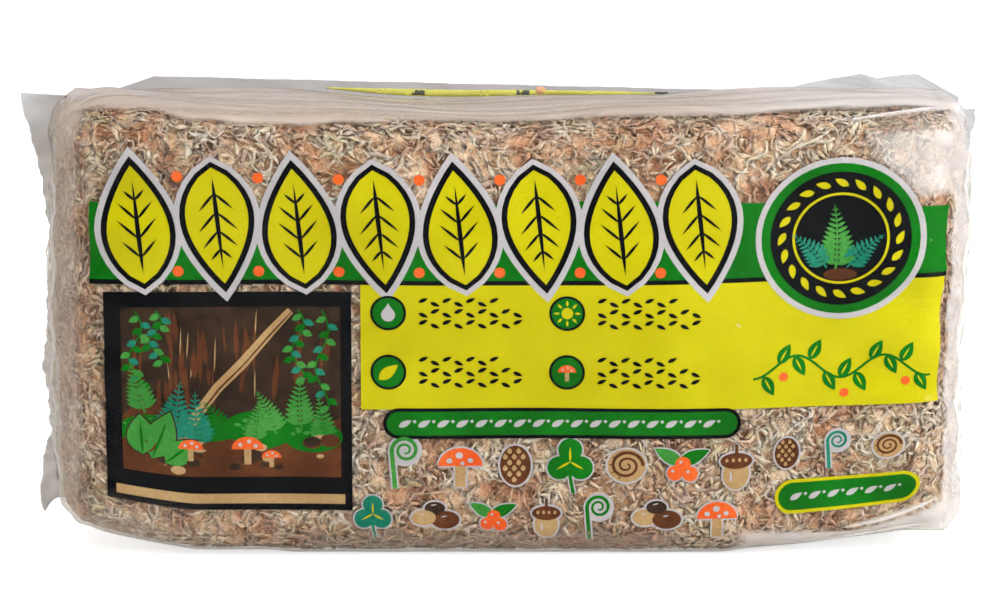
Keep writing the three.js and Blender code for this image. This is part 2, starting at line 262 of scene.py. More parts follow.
def settle(p):
    p = p.copy()
    across = 1 - np.minimum(1, (p[:, X] / HALF[X]) ** 2)
    upward = 1 - np.minimum(1, (p[:, Z] / HALF[Z]) ** 2)
    crown = np.where(p[:, Y] < 0, FRONT_CROWN, BACK_CROWN)
    p[:, Y] += crown * (p[:, Y] / HALF[Y]) * across * upward
    p[:, Y] += RIGHT_END_SET_BACK * smooth(p[:, X], HALF[X] / 3, HALF[X])
    p[:, Z] -= TOP_SAG * smooth(p[:, Z], 0, HALF[Z]) * across
    base_share = smooth(-p[:, Z], 0, HALF[Z])
    left_rise = LOWER_LEFT_RISE * ramp(-p[:, X], HALF[X] - LOWER_LEFT_RUN, HALF[X]) ** 1.25
    right_rise = LOWER_RIGHT_RISE * ramp(p[:, X], HALF[X] - LOWER_RIGHT_RUN, HALF[X]) ** 1.6
    past_rest_x = smooth(abs(p[:, X]), REST_HALF_LENGTH, REST_HALF_LENGTH + REST_EDGE_RUN)
    past_rest_y = smooth(abs(p[:, Y]), REST_HALF_WIDTH, REST_HALF_WIDTH + REST_EDGE_RUN)
    edge_lift = REST_EDGE_LIFT * np.maximum(past_rest_x, past_rest_y)
    p[:, Z] += base_share * (left_rise + right_rise + edge_lift)
    taper = ramp(-p[:, Z], -HALF[Z] / 3, HALF[Z]) * smooth(p[:, X], 0, HALF[X])
    p[:, X] -= LOWER_RIGHT_TAPER * taper
    return p


def on_brick(q, lift):
    return settle(on_rounded_box(q, lift + lump(q)))


# %% [markdown]
# ## From a bmesh to a finished piece
# Every piece is shaped in millimetres about the brick's centre, which keeps the numbers easy
# to read, and is moved to its place in metres only when its mesh is made.


# %% Helpers that carry points into a mesh
def mesh_points(mesh):
    points = np.zeros(len(mesh.vertices) * 3)
    mesh.vertices.foreach_get("co", points)
    return points.reshape(-1, 3)


def place_points(mesh, points):
    mesh.vertices.foreach_set("co", ((points + BRICK_CENTRE) * MM).ravel())
    mesh.update()


def new_piece(name, shape, finish, node):
    mesh = bpy.data.meshes.new(name)
    shape.to_mesh(mesh)
    shape.free()
    piece = bpy.data.objects.new(name, mesh)
    bpy.context.scene.collection.objects.link(piece)
    mesh.materials.append(finish)
    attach(piece, "root")
    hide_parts(node)
    return piece


# %% Stored values, walls and gridded blocks
def store(mesh, name, values):
    attribute = mesh.attributes.new(name, "FLOAT", "POINT")
    attribute.data.foreach_set("value", np.asarray(values, dtype=np.float32))


def wall(piece, thickness, inwards=True):
    solidify = piece.modifiers.new("wall", "SOLIDIFY")
    solidify.thickness = thickness * MM
    solidify.offset = -1 if inwards else 0
    solidify.use_even_offset = False
    return solidify


def gridded_block(steps):
    """A cube from -1 to 1 on each axis, cut into steps along x, y and z."""
    block = bmesh.new()
    bmesh.ops.create_cube(block, size=2)
    for axis, count in enumerate(steps):
        along = [e for e in block.edges if abs((e.verts[0].co - e.verts[1].co)[axis]) > 1e-6]
        bmesh.ops.subdivide_edges(block, edges=along, cuts=count - 1, use_grid_fill=True)
    bmesh.ops.recalc_face_normals(block, faces=block.faces)
    return block


def crowd_to_edges(share):
    return 0.45 * share + 0.55 * np.sin(share * np.pi / 2)


# %% [markdown]
# ## Finish: clear polyethylene film, blown and pressed against moss
# The film is about 0.08 mm thick, glossy and nearly colourless. Straight on it hides
# nothing, and at a low angle it mirrors the room. Where it is bunched it is cloudy. Over the
# top it is painted milky, partly as a painted reflection of the bright sweep. A Layer Weight
# node mixes a glossy shader over a clear one, and a milky share, stronger where the haze
# attribute is, gives the cloud. A second attribute turns that milk from a pinkish grey to
# white where the light falls strongest, as a painted highlight.

# %% Film finish
FILM_MIRROR, FILM_MIRROR_ALONG, FILM_CLOUD = 0.002, 0.45, 0.0005
FILM_CREASE, FILM_CREASE_DEPTH = 2.4 * MM, 0.1 * MM


def film_material(name, clear_tints, milk_tints, cloud, lit_through):
    """Each pair of tints is for film with no painted highlight and with a full one; the second tint
    is the whiter painted highlight.
    """
    finish, tree = new_material(name)
    coords = add_node(tree, "ShaderNodeTexCoord")
    drawn = add_node(
        tree,
        "ShaderNodeMapping",
        {"Vector": coords.outputs["Object"], "Scale": (0.35, 1.0, 1.0)},
    )
    creases = add_node(
        tree,
        "ShaderNodeTexNoise",
        {"Vector": drawn.outputs[0], "Scale": 0.5 / FILM_CREASE, "Detail": 3, "Roughness": 0.5},
        noise_type="RIDGED_MULTIFRACTAL",
    )
    bump = add_node(
        tree,
        "ShaderNodeBump",
        {"Height": creases.outputs[0], "Strength": 0.35, "Distance": FILM_CREASE_DEPTH},
    )
    haze = add_node(tree, "ShaderNodeAttribute", attribute_name="haze")
    threads = add_node(
        tree,
        "ShaderNodeMath",
        {0: creases.outputs[0], 1: 0.5 * cloud, 2: 0.75 * cloud},
        operation="MULTIPLY_ADD",
    )
    cloud_share = add_node(
        tree,
        "ShaderNodeMath",
        {0: haze.outputs["Fac"], 1: threads.outputs[0], 2: FILM_CLOUD},
        operation="MULTIPLY_ADD",
    )
    painted_highlight = add_node(tree, "ShaderNodeAttribute", attribute_name="painted_highlight")
    clear_colour, milk_colour = (
        add_node(
            tree,
            "ShaderNodeMix",
            {"Factor": painted_highlight.outputs["Fac"], 6: linear(tints[0]), 7: linear(tints[1])},
            data_type="RGBA",
        )
        for tints in (clear_tints, milk_tints)
    )
    clear = add_node(tree, "ShaderNodeBsdfTransparent", {"Color": clear_colour.outputs[2]})
    milk = add_node(
        tree,
        "ShaderNodeBsdfPrincipled",
        {"Base Color": milk_colour.outputs[2], "Roughness": 0.35, "Normal": bump.outputs[0]},
    )
    through = add_node(tree, "ShaderNodeBsdfTranslucent", {"Color": milk_colour.outputs[2]})
    scattering = add_node(
        tree,
        "ShaderNodeMixShader",
        {0: lit_through, 1: milk.outputs[0], 2: through.outputs[0]},
    )
    gloss = add_node(
        tree,
        "ShaderNodeBsdfGlossy",
        {"Color": linear("#ffffff"), "Roughness": 0.12, "Normal": bump.outputs[0]},
    )
    facing = add_node(tree, "ShaderNodeLayerWeight", {"Blend": 0.5, "Normal": bump.outputs[0]})
    grazing = add_node(
        tree, "ShaderNodeMath", {0: facing.outputs["Facing"], 1: 5.0}, operation="POWER"
    )
    mirror_share = add_node(
        tree,
        "ShaderNodeMath",
        {0: grazing.outputs[0], 1: FILM_MIRROR_ALONG, 2: FILM_MIRROR},
        operation="MULTIPLY_ADD",
    )
    cloudy = add_node(
        tree,
        "ShaderNodeMixShader",
        {0: cloud_share.outputs[0], 1: clear.outputs[0], 2: scattering.outputs[0]},
    )
    film = add_node(
        tree,
        "ShaderNodeMixShader",
        {0: mirror_share.outputs[0], 1: cloudy.outputs[0], 2: gloss.outputs[0]},
    )
    add_node(tree, "ShaderNodeOutputMaterial", {"Surface": film.outputs[0]})
    return finish


# %% The two film finishes
# The second tint of each pair is the whiter milk of the painted highlight.
film_finish = film_material(
    "blown_polyethylene_film", ("#fbfaf8", "#fbfaf8"), ("#dacabd", "#fcf9f9"), 0.6, 0.08
)
seal_finish = film_material(
    "heat_sealed_polyethylene_film", ("#d0ccc9", "#e6e6e7"), ("#9c948f", "#c9c9cc"), 0.35, 0.3
)
print("film finishes:", film_finish.name, seal_finish.name)

# %% [markdown]
# ## The film wrap
# The film lies tight on the front and back. It tents towards the end seals, gathers near the
# ends, wraps the lower corners in loose folds and lies in long creases along the top. A
# finely cut block is laid on the form and raised by these, then given its wall. Its haze,
# partly painted reflection and highlight, and its painted highlight are stored on its points,
# for the finish to read.

# %% How far the film stands off, in millimetres
FILM_OUTSIDE = 0.97
FILM_WALL = 0.14
END_TENT = 2.6
LOWER_LEFT_SLACK, LOWER_RIGHT_SLACK = 0.6, 3.6
CORNER_RUN = 13
GATHER_HEIGHT, GATHER_RUN, GATHER_WAVE, BACK_GATHER = 1.1, 42, 41, 0.75


def slack(q):
    """What the solid film has too: tents at the ends, gathers beside them, loose corners."""
    reach = abs(q[:, X])
    end_share = smooth(reach, HALF[X] - CORNER_RUN / 2, HALF[X])
    tent = END_TENT * end_share * (1 - np.minimum(1, abs(q[:, Y]) / HALF[Y]))
    gather_share = smooth(reach, HALF[X] - GATHER_RUN, HALF[X] - EDGE_ROUND[X])
    away_from_base = smooth(q[:, Z], -HALF[Z], -HALF[Z] + LUMP_FREE_BASE)
    pleat = wave(q[:, Z] + q[:, X] / 3 + q[:, Y], GATHER_WAVE) ** 2
    pleat *= np.where(q[:, Y] > 0, BACK_GATHER, 1.0)
    near_end = smooth(reach, HALF[X] - CORNER_RUN, HALF[X])
    near_base = smooth(-q[:, Z], HALF[Z] - CORNER_RUN, HALF[Z])
    corner = np.where(q[:, X] < 0, LOWER_LEFT_SLACK, LOWER_RIGHT_SLACK)
    gathers = GATHER_HEIGHT * gather_share * away_from_base * pleat
    return tent + gathers + corner * near_end * near_base


def creases(q):
    """Fine creases that the solid leaves out: along the top, and fanning out at the ends."""
    on_top = smooth(q[:, Z], HALF[Z] - 9, HALF[Z] - 2)
    drift = q[:, Y] + 1.6 * wave(q[:, X], 160) + 0.9 * wave(q[:, X] + 30, 61)
    long_creases = 0.34 * abs(wave(drift, 17)) + 0.2 * abs(wave(drift + 3, 8.7))
    reach = abs(q[:, X])
    past_print = smooth(reach, HALF[X] - 9, HALF[X] - 1)
    fan = abs(wave(q[:, Z] + 0.5 * q[:, Y] + 0.22 * reach, 11.5)) ** 1.5
    fine_fan = abs(wave(q[:, Z] - 0.3 * reach, 6.1))
    near_end = 0.05 * smooth(reach, 85, 110) * (wave(q[:, Z] + 0.35 * reach, 13) - 1)
    on_front = 0.025 * (wave(q[:, X] + 2.3 * q[:, Z], 37) - 1)
    on_front += 0.02 * (wave(q[:, X] - 1.4 * q[:, Z], 23) - 1)
    return on_top * long_creases + past_print * (0.5 * fan + 0.16 * fine_fan) + near_end + on_front


def film_surface(q, below=0.0):
    return on_brick(q, FILM_OUTSIDE + slack(q) + creases(q) - below)


# %% Where the film is cloudy, from 0 where it lies tight to 1, with painted reflection and highlight in the milk
TOP_BAND_X = [-112, -98, -85, -57, -44, -30, -10, 20, 40, 54, 67, 81, 94, 122]
TOP_BAND_FRONT = [4.8, 2.8, -1, -0.7, 1.5, 2.8, 5.5, 6, 3.7, 3.1, 5.4, 7.8, 5.4, 8]
LOW_BAND_X = [60, 78, 96, 98, 119, 123]
LOW_BAND_DEPTH = [54.8, 57, 59.6, 59, 53.8, 53]
MEDALLION, MEDALLION_RADIUS = (89.0, 27.5), 23.2
# Along the foot band the moss is darkened by FOOT_BAND_SHADE, as painted shade.
FOOT_BAND_ENDS, FOOT_BAND_DEPTH, FOOT_BAND_HAZE, FOOT_BAND_SHADE = (-56, 44), 55.2, 0.15, 2.2
TOP_HAZE_AND_REFLECTION, LEFT_END_HAZE, RIGHT_END_HAZE, END_CLEARING = 0.87, 0.68, 0.92, 0.72
VEIL_HIGHLIGHT, LOW_RIGHT_HAZE, LOW_LEFT_HAZE = 0.42, 0.68, 0.3


def shaded_foot_band(q):
    """The strip along the foot of the front, where the moss is darkened as painted shade and the
    film is a little cloudy.
    """
    border = FOOT_BAND_DEPTH + 1.0 * wave(q[:, X], 27) + 0.7 * wave(q[:, X] + 5, 11)
    low = smooth(-q[:, Z], border - 0.6, border + 0.6)
    in_front = smooth(-q[:, Y], HALF[Y] - 8, HALF[Y] - 3)
    first, last = FOOT_BAND_ENDS
    between_ends = smooth(q[:, X], first - 4, first) * (1 - smooth(q[:, X], last, last + 8))
    return low * in_front * between_ends


def top_haze_and_reflection(q):
    """Loose film over the top, milky to an uneven line near the front edge: partly painted
    reflection of the sweep, thicker to the lit right and on the far edge.
    """
    x, y, z = q[:, X], q[:, Y], q[:, Z]
    past_edge = (y + HALF[Y]) + (z - HALF[Z])
    front_line = np.interp(x, TOP_BAND_X, TOP_BAND_FRONT) + 0.5 * wave(x, 17)
    top = smooth(z, HALF[Z] - 8, HALF[Z] - 7)
    top *= smooth(past_edge, front_line - 1.3, front_line + 0.9)
    top *= TOP_HAZE_AND_REFLECTION + 0.18 * wave(y + 1.6 * wave(x, 160), 9.3) + 0.4 * smooth(x, 40, 80)
    # Painted reflection: milk over the rounded far edge, where the film is seen at a grazing angle.
    far_edge = smooth(y, HALF[Y] - 1, HALF[Y] - 0.2) * smooth(z, 54, 60)
    return np.maximum(top, far_edge * (0.7 + 0.4 * smooth(x, 40, 80)))


# %% Cloudy ends and corners
def end_haze(q):
    """The film that tents over the ends, clearer in the middle, where the seal holds it taut."""
    x, y, z = q[:, X], q[:, Y], q[:, Z]
    end_share = 0.6 + 0.4 * smooth(y, -20, -8)
    end_share *= 1 - END_CLEARING * smooth(HALF[Y] - abs(y), 9, 15)
    left = LEFT_END_HAZE * end_share * smooth(-x, HALF[X] - 7, HALF[X] - 1)
    left += 0.35 * smooth(-x, HALF[X] - 12, HALF[X]) * smooth(z, 44, 60)
    right = RIGHT_END_HAZE * end_share * smooth(x, HALF[X] - 3, HALF[X] - 0.5)
    return np.maximum(left, right)


def corner_haze(q):
    """The veil beside the medallion, a painted highlight of the light from the right, and the loose
    film round both lower corners.
    """
    x, z = q[:, X], q[:, Z]
    below_crease = 1 - 0.8 * smooth(z, 55, 57)
    from_medallion = np.hypot(x - MEDALLION[0], z - MEDALLION[1]) - MEDALLION_RADIUS
    beside_print = smooth(from_medallion, -0.4, 1.4) * smooth(z, 38.5, 40.5)
    # Painted highlight: the veil whitens the film beside the medallion, where the light from the
    # right is reflected.
    veil_highlight = VEIL_HIGHLIGHT * smooth(x, HALF[X] - 30, HALF[X] - 17)
    veil_highlight += (0.1 + 0.06 * wave(z - 0.6 * x, 9)) * smooth(x, HALF[X] - 17, HALF[X] - 5)
    veil_highlight *= beside_print * below_crease
    depth = np.interp(x, LOW_BAND_X, LOW_BAND_DEPTH)
    low_right = LOW_RIGHT_HAZE * smooth(x, 62, 66) * smooth(-z, depth - 0.6, depth + 0.6)
    low_left = LOW_LEFT_HAZE * smooth(-x, 70, 110) * smooth(-z, 46, 60)
    return np.maximum.reduce([veil_highlight, low_right, low_left])


# %% All the film's haze, and its painted highlight
def film_haze(q):
    foot = FOOT_BAND_HAZE * shaded_foot_band(q)
    return np.maximum.reduce([top_haze_and_reflection(q), end_haze(q), corner_haze(q), foot])


def film_painted_highlight(q):
    """Painted highlight: where the cloud in the film is painted white rather than a pinkish grey,
    towards the brightly lit right end and its lower corner.
    """
    low = 0.6 * smooth(q[:, X], 42, 66) * smooth(-q[:, Z], 40, 50)
    right = smooth(q[:, X], 40, HALF[X] - 30)
    right *= 1 - 0.5 * smooth(q[:, Z], HALF[Z] - 1.5, HALF[Z] - 0.2)
    return np.maximum(right, low)


# %% Make the film wrap
wrap_shape = gridded_block((130, 22, 76))
film_wrap = new_piece("film_wrap", wrap_shape, film_finish, "film_bag")
q = crowd_to_edges(mesh_points(film_wrap.data)) * HALF
place_points(film_wrap.data, film_surface(q))
store(film_wrap.data, "haze", film_haze(q))
store(film_wrap.data, "painted_highlight", film_painted_highlight(q))
film_wrap.data.shade_smooth()
wall(film_wrap, FILM_WALL)
print("film wrap:", len(film_wrap.data.polygons), "faces a side")

# %% [markdown]
# ### The vents
# Two small holes in the back let the air out while the packs are stacked. A punch goes through
# the wall there, as a Boolean modifier whose result is kept, and leaves a raised burr.

# %% Punch the two vent holes through the back
VENT_PLACES, VENT_RADIUS, PUNCH_LENGTH = ((-88, 26, 34), (88, 28, 34)), 3, 12
punch_shape = bmesh.new()
for place in VENT_PLACES:
    turned_to_back = Matrix.Translation(place) @ Matrix.Rotation(math.pi / 2, 4, "X")
    bmesh.ops.create_cone(
        punch_shape,
        cap_ends=True,
        segments=32,
        radius1=VENT_RADIUS,
        radius2=VENT_RADIUS,
        depth=PUNCH_LENGTH,
        matrix=turned_to_back,
    )
punch_mesh = bpy.data.meshes.new("punch")
punch_shape.to_mesh(punch_mesh)
punch_shape.free()
place_points(punch_mesh, mesh_points(punch_mesh))
punch = bpy.data.objects.new("punch", punch_mesh)
bpy.context.scene.collection.objects.link(punch)
holes = film_wrap.modifiers.new("vents", "BOOLEAN")
holes.operation, holes.solver, holes.object = "DIFFERENCE", "EXACT", punch
depsgraph = bpy.context.evaluated_depsgraph_get()
punched = bpy.data.meshes.new_from_object(film_wrap.evaluated_get(depsgraph))
film_wrap.modifiers.clear()
film_wrap.data = punched
bpy.data.objects.remove(punch)
bpy.data.meshes.remove(punch_mesh)
print("film wrap with its vents:", len(punched.polygons), "faces")

# %% Make the burr round each vent hole
BURR_HEIGHT, BURR_WALL = 0.25, 0.4
for end, place in zip(("left", "right"), VENT_PLACES):
    collar = bmesh.new()
    bmesh.ops.create_cone(collar, segments=48, radius1=1, radius2=1, depth=2)
    burr = new_piece(f"vent_burr_{end}", collar, seal_finish, "film_bag")
    ring = mesh_points(burr.data)
    on_back = np.full((len(ring), 3), HALF[Y])
    on_back[:, X] = place[X] + VENT_RADIUS * ring[:, X]
    on_back[:, Z] = place[Z] + VENT_RADIUS * ring[:, Y]
    rise = (FILM_WALL + BURR_HEIGHT) * (ring[:, Z] + 1) / 2
    place_points(burr.data, film_surface(on_back, below=FILM_WALL - rise))
    store(burr.data, "haze", np.full(len(ring), 0.9))
    store(burr.data, "painted_highlight", np.full(len(ring), 0.6))
    burr.data.shade_smooth()
    wall(burr, BURR_WALL, inwards=False)
print("vent burrs:", len(VENT_PLACES))

# %% [markdown]
# ## The end seals
# At each end the tube is pressed flat and welded. The flange folds back against the end at
# mid height and flares out into a crisp ear at each corner. It is the same block recipe, a
# thin slab whose long edge follows the brick and whose free edge turns, rises and flutters.

# %% Sizes of the end seals
SEAL_THICKNESS = 0.3
SEAL_ROOT_SINK = 3
SEAL_REACH = 0.94
SEAL_FLUTTER = 0.35
SEAL_WIDTH = 11.2
FILM_GAP = 0.4
SEAL_STEPS = (10, 1, 110)
SEALS = {
    "left": {
        "side": -1,
        "heights": [-1, -0.9, -0.78, -0.7, -0.5, -0.3, 0, 0.2, 0.4, 0.6, 0.8, 0.9, 1],
        "spread": [8.4, 6.6, 5.5, 3.2, 4.4, 5.1, 3.3, 2.5, 2.3, 4.8, 6.8, 8.5, 11.75],
        "root_lift": 2.9,
        "tip_lift": 3.4,
        "foot_drop": 5.6,
    },
    "right": {
        "side": 1,
        "heights": [-1, -0.9, -0.6, -0.2, 0, 0.2, 0.4, 0.6, 0.8, 0.9, 0.95, 1],
        "spread": [4.3, 2.5, 1.6, 2.5, 2.8, 2.3, 2, 2.8, 2.4, 3.5, 5.2, 6.8],
        "root_lift": 0,
        "tip_lift": -1.5,
        "foot_drop": 6.5,
    },
}
print("seals stand out by up to", [max(sizes["spread"]) for sizes in SEALS.values()], "mm")


# %% A seal's points on the brick
def seal_points(share, side, heights, spread, root_lift, tip_lift, foot_drop):
    """spread is how far the flange stands out past the end at each of the heights."""
    out = (share[:, X] + 1) / 2
    height = share[:, Z]
    weld_line = np.zeros_like(share)
    weld_line[:, X] = side * HALF[X]
    weld_line[:, Z] = height * HALF[Z] * SEAL_REACH
    root = on_brick(weld_line, FILM_GAP + END_TENT)
    stands_out = np.interp(height, heights, spread)
    width = np.maximum(SEAL_WIDTH, stands_out + 0.1)
    turn = np.arccos(stands_out / width)
    reach = out * (width + SEAL_ROOT_SINK) - SEAL_ROOT_SINK
    outward = np.stack([side * np.cos(turn), np.sin(turn), 0 * turn], 1)
    face_normal = np.stack([side * np.sin(turn), -np.cos(turn), 0 * turn], 1)
    flutter = SEAL_FLUTTER * out * wave(height, 0.37)
    flutter += out * (0.25 * wave(height + 0.1 * out, 0.11) + 0.15 * wave(height, 0.047))
    offset = -share[:, Y] * side * SEAL_THICKNESS / 2 + flutter
    points = root + outward * reach[:, None] + face_normal * offset[:, None]
    points[:, Z] += smooth(height, 0.7, 1) * (root_lift * (1 - out) + tip_lift * out)
    points[:, Z] -= smooth(-height, 0.85, 1) * foot_drop * out**4
    return points


# %% Make the end seals
for end, sizes in SEALS.items():
    seal = new_piece(f"end_seal_{end}", gridded_block(SEAL_STEPS), seal_finish, "film_bag")
    share = mesh_points(seal.data)
    place_points(seal.data, seal_points(share, **sizes))
    out, height = (share[:, X] + 1) / 2, share[:, Z]
    streaks = 0.18 * wave(height + 0.06 * out, 0.09) + 0.12 * wave(height - 0.1 * out, 0.23)
    tip_share = smooth(height, 0.8, 1) * out
    store(seal.data, "haze", 0.75 + streaks - 0.25 * tip_share)
    # A painted highlight whitens the milk of the right seal and of the left ear's tip.
    store(seal.data, "painted_highlight", 0.9 * tip_share if end == "left" else np.full(len(share), 0.85))
    seal.data.shade_smooth()
    print(f"{end} end seal:", len(seal.data.polygons), "faces")

# %% [markdown]
# ## The lengthwise seam
# The tube's own weld stands up along the far top edge as a narrow fin, straight for most of
# its length and crumpled into a crest near the right end.

# %% Make the standing seam
SEAM_CREST_X = [-112, -100, -57, 48, 73, 86.4, 97.5, 102.2, 113.9, 119.8, 125]
SEAM_CREST_Z = [61, 65.2, 64.1, 61.6, 61, 63.7, 66.2, 64.8, 65.4, 62.3, 59.6]
SEAM_THICKNESS = 0.3
SEAM_Y, SEAM_ROOT_SINK, SEAM_WAVE, SEAM_WAVINESS, CREST_CRUMPLE = 20.5, 5, 28, 0.5, 2.2
CREST_RUN = (70, 100)


def seam_points(share):
    x = np.interp(share[:, X], [-1, 1], [SEAM_CREST_X[0], SEAM_CREST_X[-1]])
    climb = (share[:, Z] + 1) / 2
    under = np.stack([x, np.full_like(x, SEAM_Y - EDGE_ROUND[Y]), np.full_like(x, HALF[Z])], 1)
    root_z = on_brick(under, -SEAM_ROOT_SINK * 0.2)[:, Z]
    crumple = SEAM_WAVINESS + CREST_CRUMPLE * smooth(x, *CREST_RUN)
    fine = 0.25 * climb * (wave(x, 7.3) + wave(x + 2 * climb, 4.1) * smooth(x, *CREST_RUN))
    y = SEAM_Y + climb * crumple * wave(x + 7 * climb, SEAM_WAVE) + fine
    y += share[:, Y] * SEAM_THICKNESS / 2
    crest = np.interp(x, SEAM_CREST_X, SEAM_CREST_Z)
    return np.stack([x, y, root_z + (crest - root_z) * climb], 1)


seam = new_piece("standing_seam", gridded_block((220, 1, 8)), seal_finish, "film_bag")
share = mesh_points(seam.data)
place_points(seam.data, seam_points(share))
along = share[:, X] * HALF[X]
radiating = wave(along + 14 * share[:, Z], 9) * smooth(along, *CREST_RUN)
store(seam.data, "haze", 0.8 + 0.12 * radiating + 0.1 * wave(along, 31))
# A painted highlight whitens the seam's milk towards the lit right end.
store(seam.data, "painted_highlight", 0.45 + 0.55 * smooth(along, 35, 85))
seam.data.shade_smooth()
print("standing seam:", len(seam.data.polygons), "faces")

# %% [markdown]
# ## Folds in the film
# Loose film lies over in narrow folds, and each shows as a thin white line where it turns, a
# painted highlight of milk laid thickest along its crest.
# Each fold is a slim slab laid along a line on the form, with its middle raised like a tent.

# %% Lines, widths and heights of the folds
FOLD_WALL, FOLD_BED = 0.12, 0.02
FOLD_STEPS = (56, 1, 6)
FRONT, TOP, LEFT, RIGHT = -HALF[Y], HALF[Z], -HALF[X], HALF[X]
FOLDS = {
    "edge_high_right": (
        [(89, FRONT, 60.5), (101, FRONT, 61.5), (112, -23, TOP), (122, -17, TOP)], 2.4, 0.9
    ),
    "end_right_front": (
        [(RIGHT, -19, 55), (RIGHT, -17, 20), (RIGHT, -20, -15), (RIGHT, -18, -50)], 2.6, 0.8
    ),
    "end_right_back": ([(RIGHT, 14, 52), (RIGHT, 17, 5), (RIGHT, 15, -48)], 2.6, 0.8),
    "low_right_front": ([(92, FRONT, -57), (104, FRONT, -55.5), (119, FRONT, -52)], 2.4, 0.8),
    "low_right_under": ([(84, -22, -HALF[Z]), (100, FRONT, -61), (118, FRONT, -59)], 2.2, 0.7),
    "end_left_front": (
        [(LEFT, -15, 54), (LEFT, -18, 15), (LEFT, -14, -20), (LEFT, -17, -52)], 2.6, 0.8
    ),
    "end_left_mid": ([(LEFT, -8, 50), (LEFT, -9, 10), (LEFT, -6, -25), (LEFT, -9, -50)], 2.2, 0.6),
    "end_left_back": ([(LEFT, 15, 50), (LEFT, 17, 0), (LEFT, 14, -50)], 2.6, 0.8),
    "top_front": (
        [(-104, -13, TOP), (-60, -16, TOP), (0, -15, TOP), (70, -12, TOP), (112, -9, TOP)], 2.0, 0.5
    ),
    "top_middle": ([(-112, -6, TOP), (-40, -5, TOP), (30, -8, TOP), (80, -4, TOP)], 2.4, 0.6),
    "top_back": ([(-70, 6, TOP), (0, 4, TOP), (60, 7, TOP), (116, 3, TOP)], 2.4, 0.6),
    "top_left_fan": ([(-120, -18, TOP), (-108, -14, TOP), (-84, -10, TOP)], 2.2, 0.5),
}
print("fold lines:", ", ".join(FOLDS))


# %% A fold's points on the film
def fold_points(share, line, width, height):
    """Points of a fold along a line on the form. A line of four points or more is rounded."""
    line = np.array(line, dtype=float)
    stops = np.linspace(-1, 1, len(line))
    along = share[:, X]

    def on_line(at):
        eased = [np.interp(at, stops, line[:, axis]) for axis in (X, Y, Z)]
        blurred = [
            sum(np.interp(at + shift, stops, line[:, axis]) for shift in (-0.2, 0, 0.2)) / 3
            for axis in (X, Y, Z)
        ]
        return np.stack(blurred if len(line) > 3 else eased, 1)

    middle = on_line(along)
    ahead = on_line(along + 0.02) - on_line(along - 0.02)
    outside = film_surface(middle) - film_surface(middle, below=1.0)
    aside = np.cross(outside, ahead)
    aside /= np.linalg.norm(aside, axis=1, keepdims=True)
    taper = np.clip(1 - abs(along) ** 3, 0.02, 1)
    reach = share[:, Z] * width / 2 * taper
    q = np.clip(middle + aside * reach[:, None], -HALF, HALF)
    tent = height * taper * (1 - abs(share[:, Z])) ** 1.5
    lift = FOLD_BED + tent + FOLD_WALL * (share[:, Y] + 1) / 2
    return film_surface(q, below=-lift)


# %% Make the folds
for name, (line, width, height) in FOLDS.items():
    block = gridded_block(FOLD_STEPS)
    fold = new_piece(f"film_fold_{name}", block, film_finish, "film_bag")
    share = mesh_points(fold.data)
    place_points(fold.data, fold_points(share, line, width, height))
    # Painted highlight: milk is laid thickest along each crest as the white line where the fold
    # turns, and folds at the right get whiter milk.
    crest_highlight = 0.5 if name.startswith("top") else 1.0
    store(fold.data, "haze", crest_highlight * (0.15 + 0.85 * (1 - abs(share[:, Z])) ** 2))
    store(fold.data, "painted_highlight", np.full(len(share), 1.0 if "right" in name else 0.5))
    fold.data.shade_smooth()
print("folds:", len(FOLDS))

# %% [markdown]
# ## Finish: dried sphagnum moss
# Dried sphagnum bleaches to straw and buff, with pinkish, russet and olive patches. Its
# gaps are painted a darker brown, as painted shade. It is matte and woolly. Each strand
# carries its own tone, its root is darker than its tip, and a fine bump stands for the
# scale-like leaves that cover it.

# %% Moss colours and sizes
LEAF_SCALE = 0.8 * MM
TUFT_SCALE = 4.5 * MM
BLUSH_SCALE = 14 * MM
LIGHT_DEPTH = 1.5 * MM
BLUSH = "#e6c3b0"
MOSS_TONES = {
    "straw": ("#b89575", "#e2cbae", "#f6e9d6"),
    "buff": ("#b48f74", "#dec3a9", "#f4e3d2"),
    "russet": ("#a67e6a", "#cfab95", "#e9d1c0"),
    "olive": ("#a88f6d", "#d4c19d", "#ebdec3"),
}
# Painted shade: the mat's tones are darker than the strands', for moss in the shade between them.
MAT_TONE_IN_SHADE = ("#a17c5c", "#d3b292", "#ecd8bf")
print("moss tones:", ", ".join(MOSS_TONES))


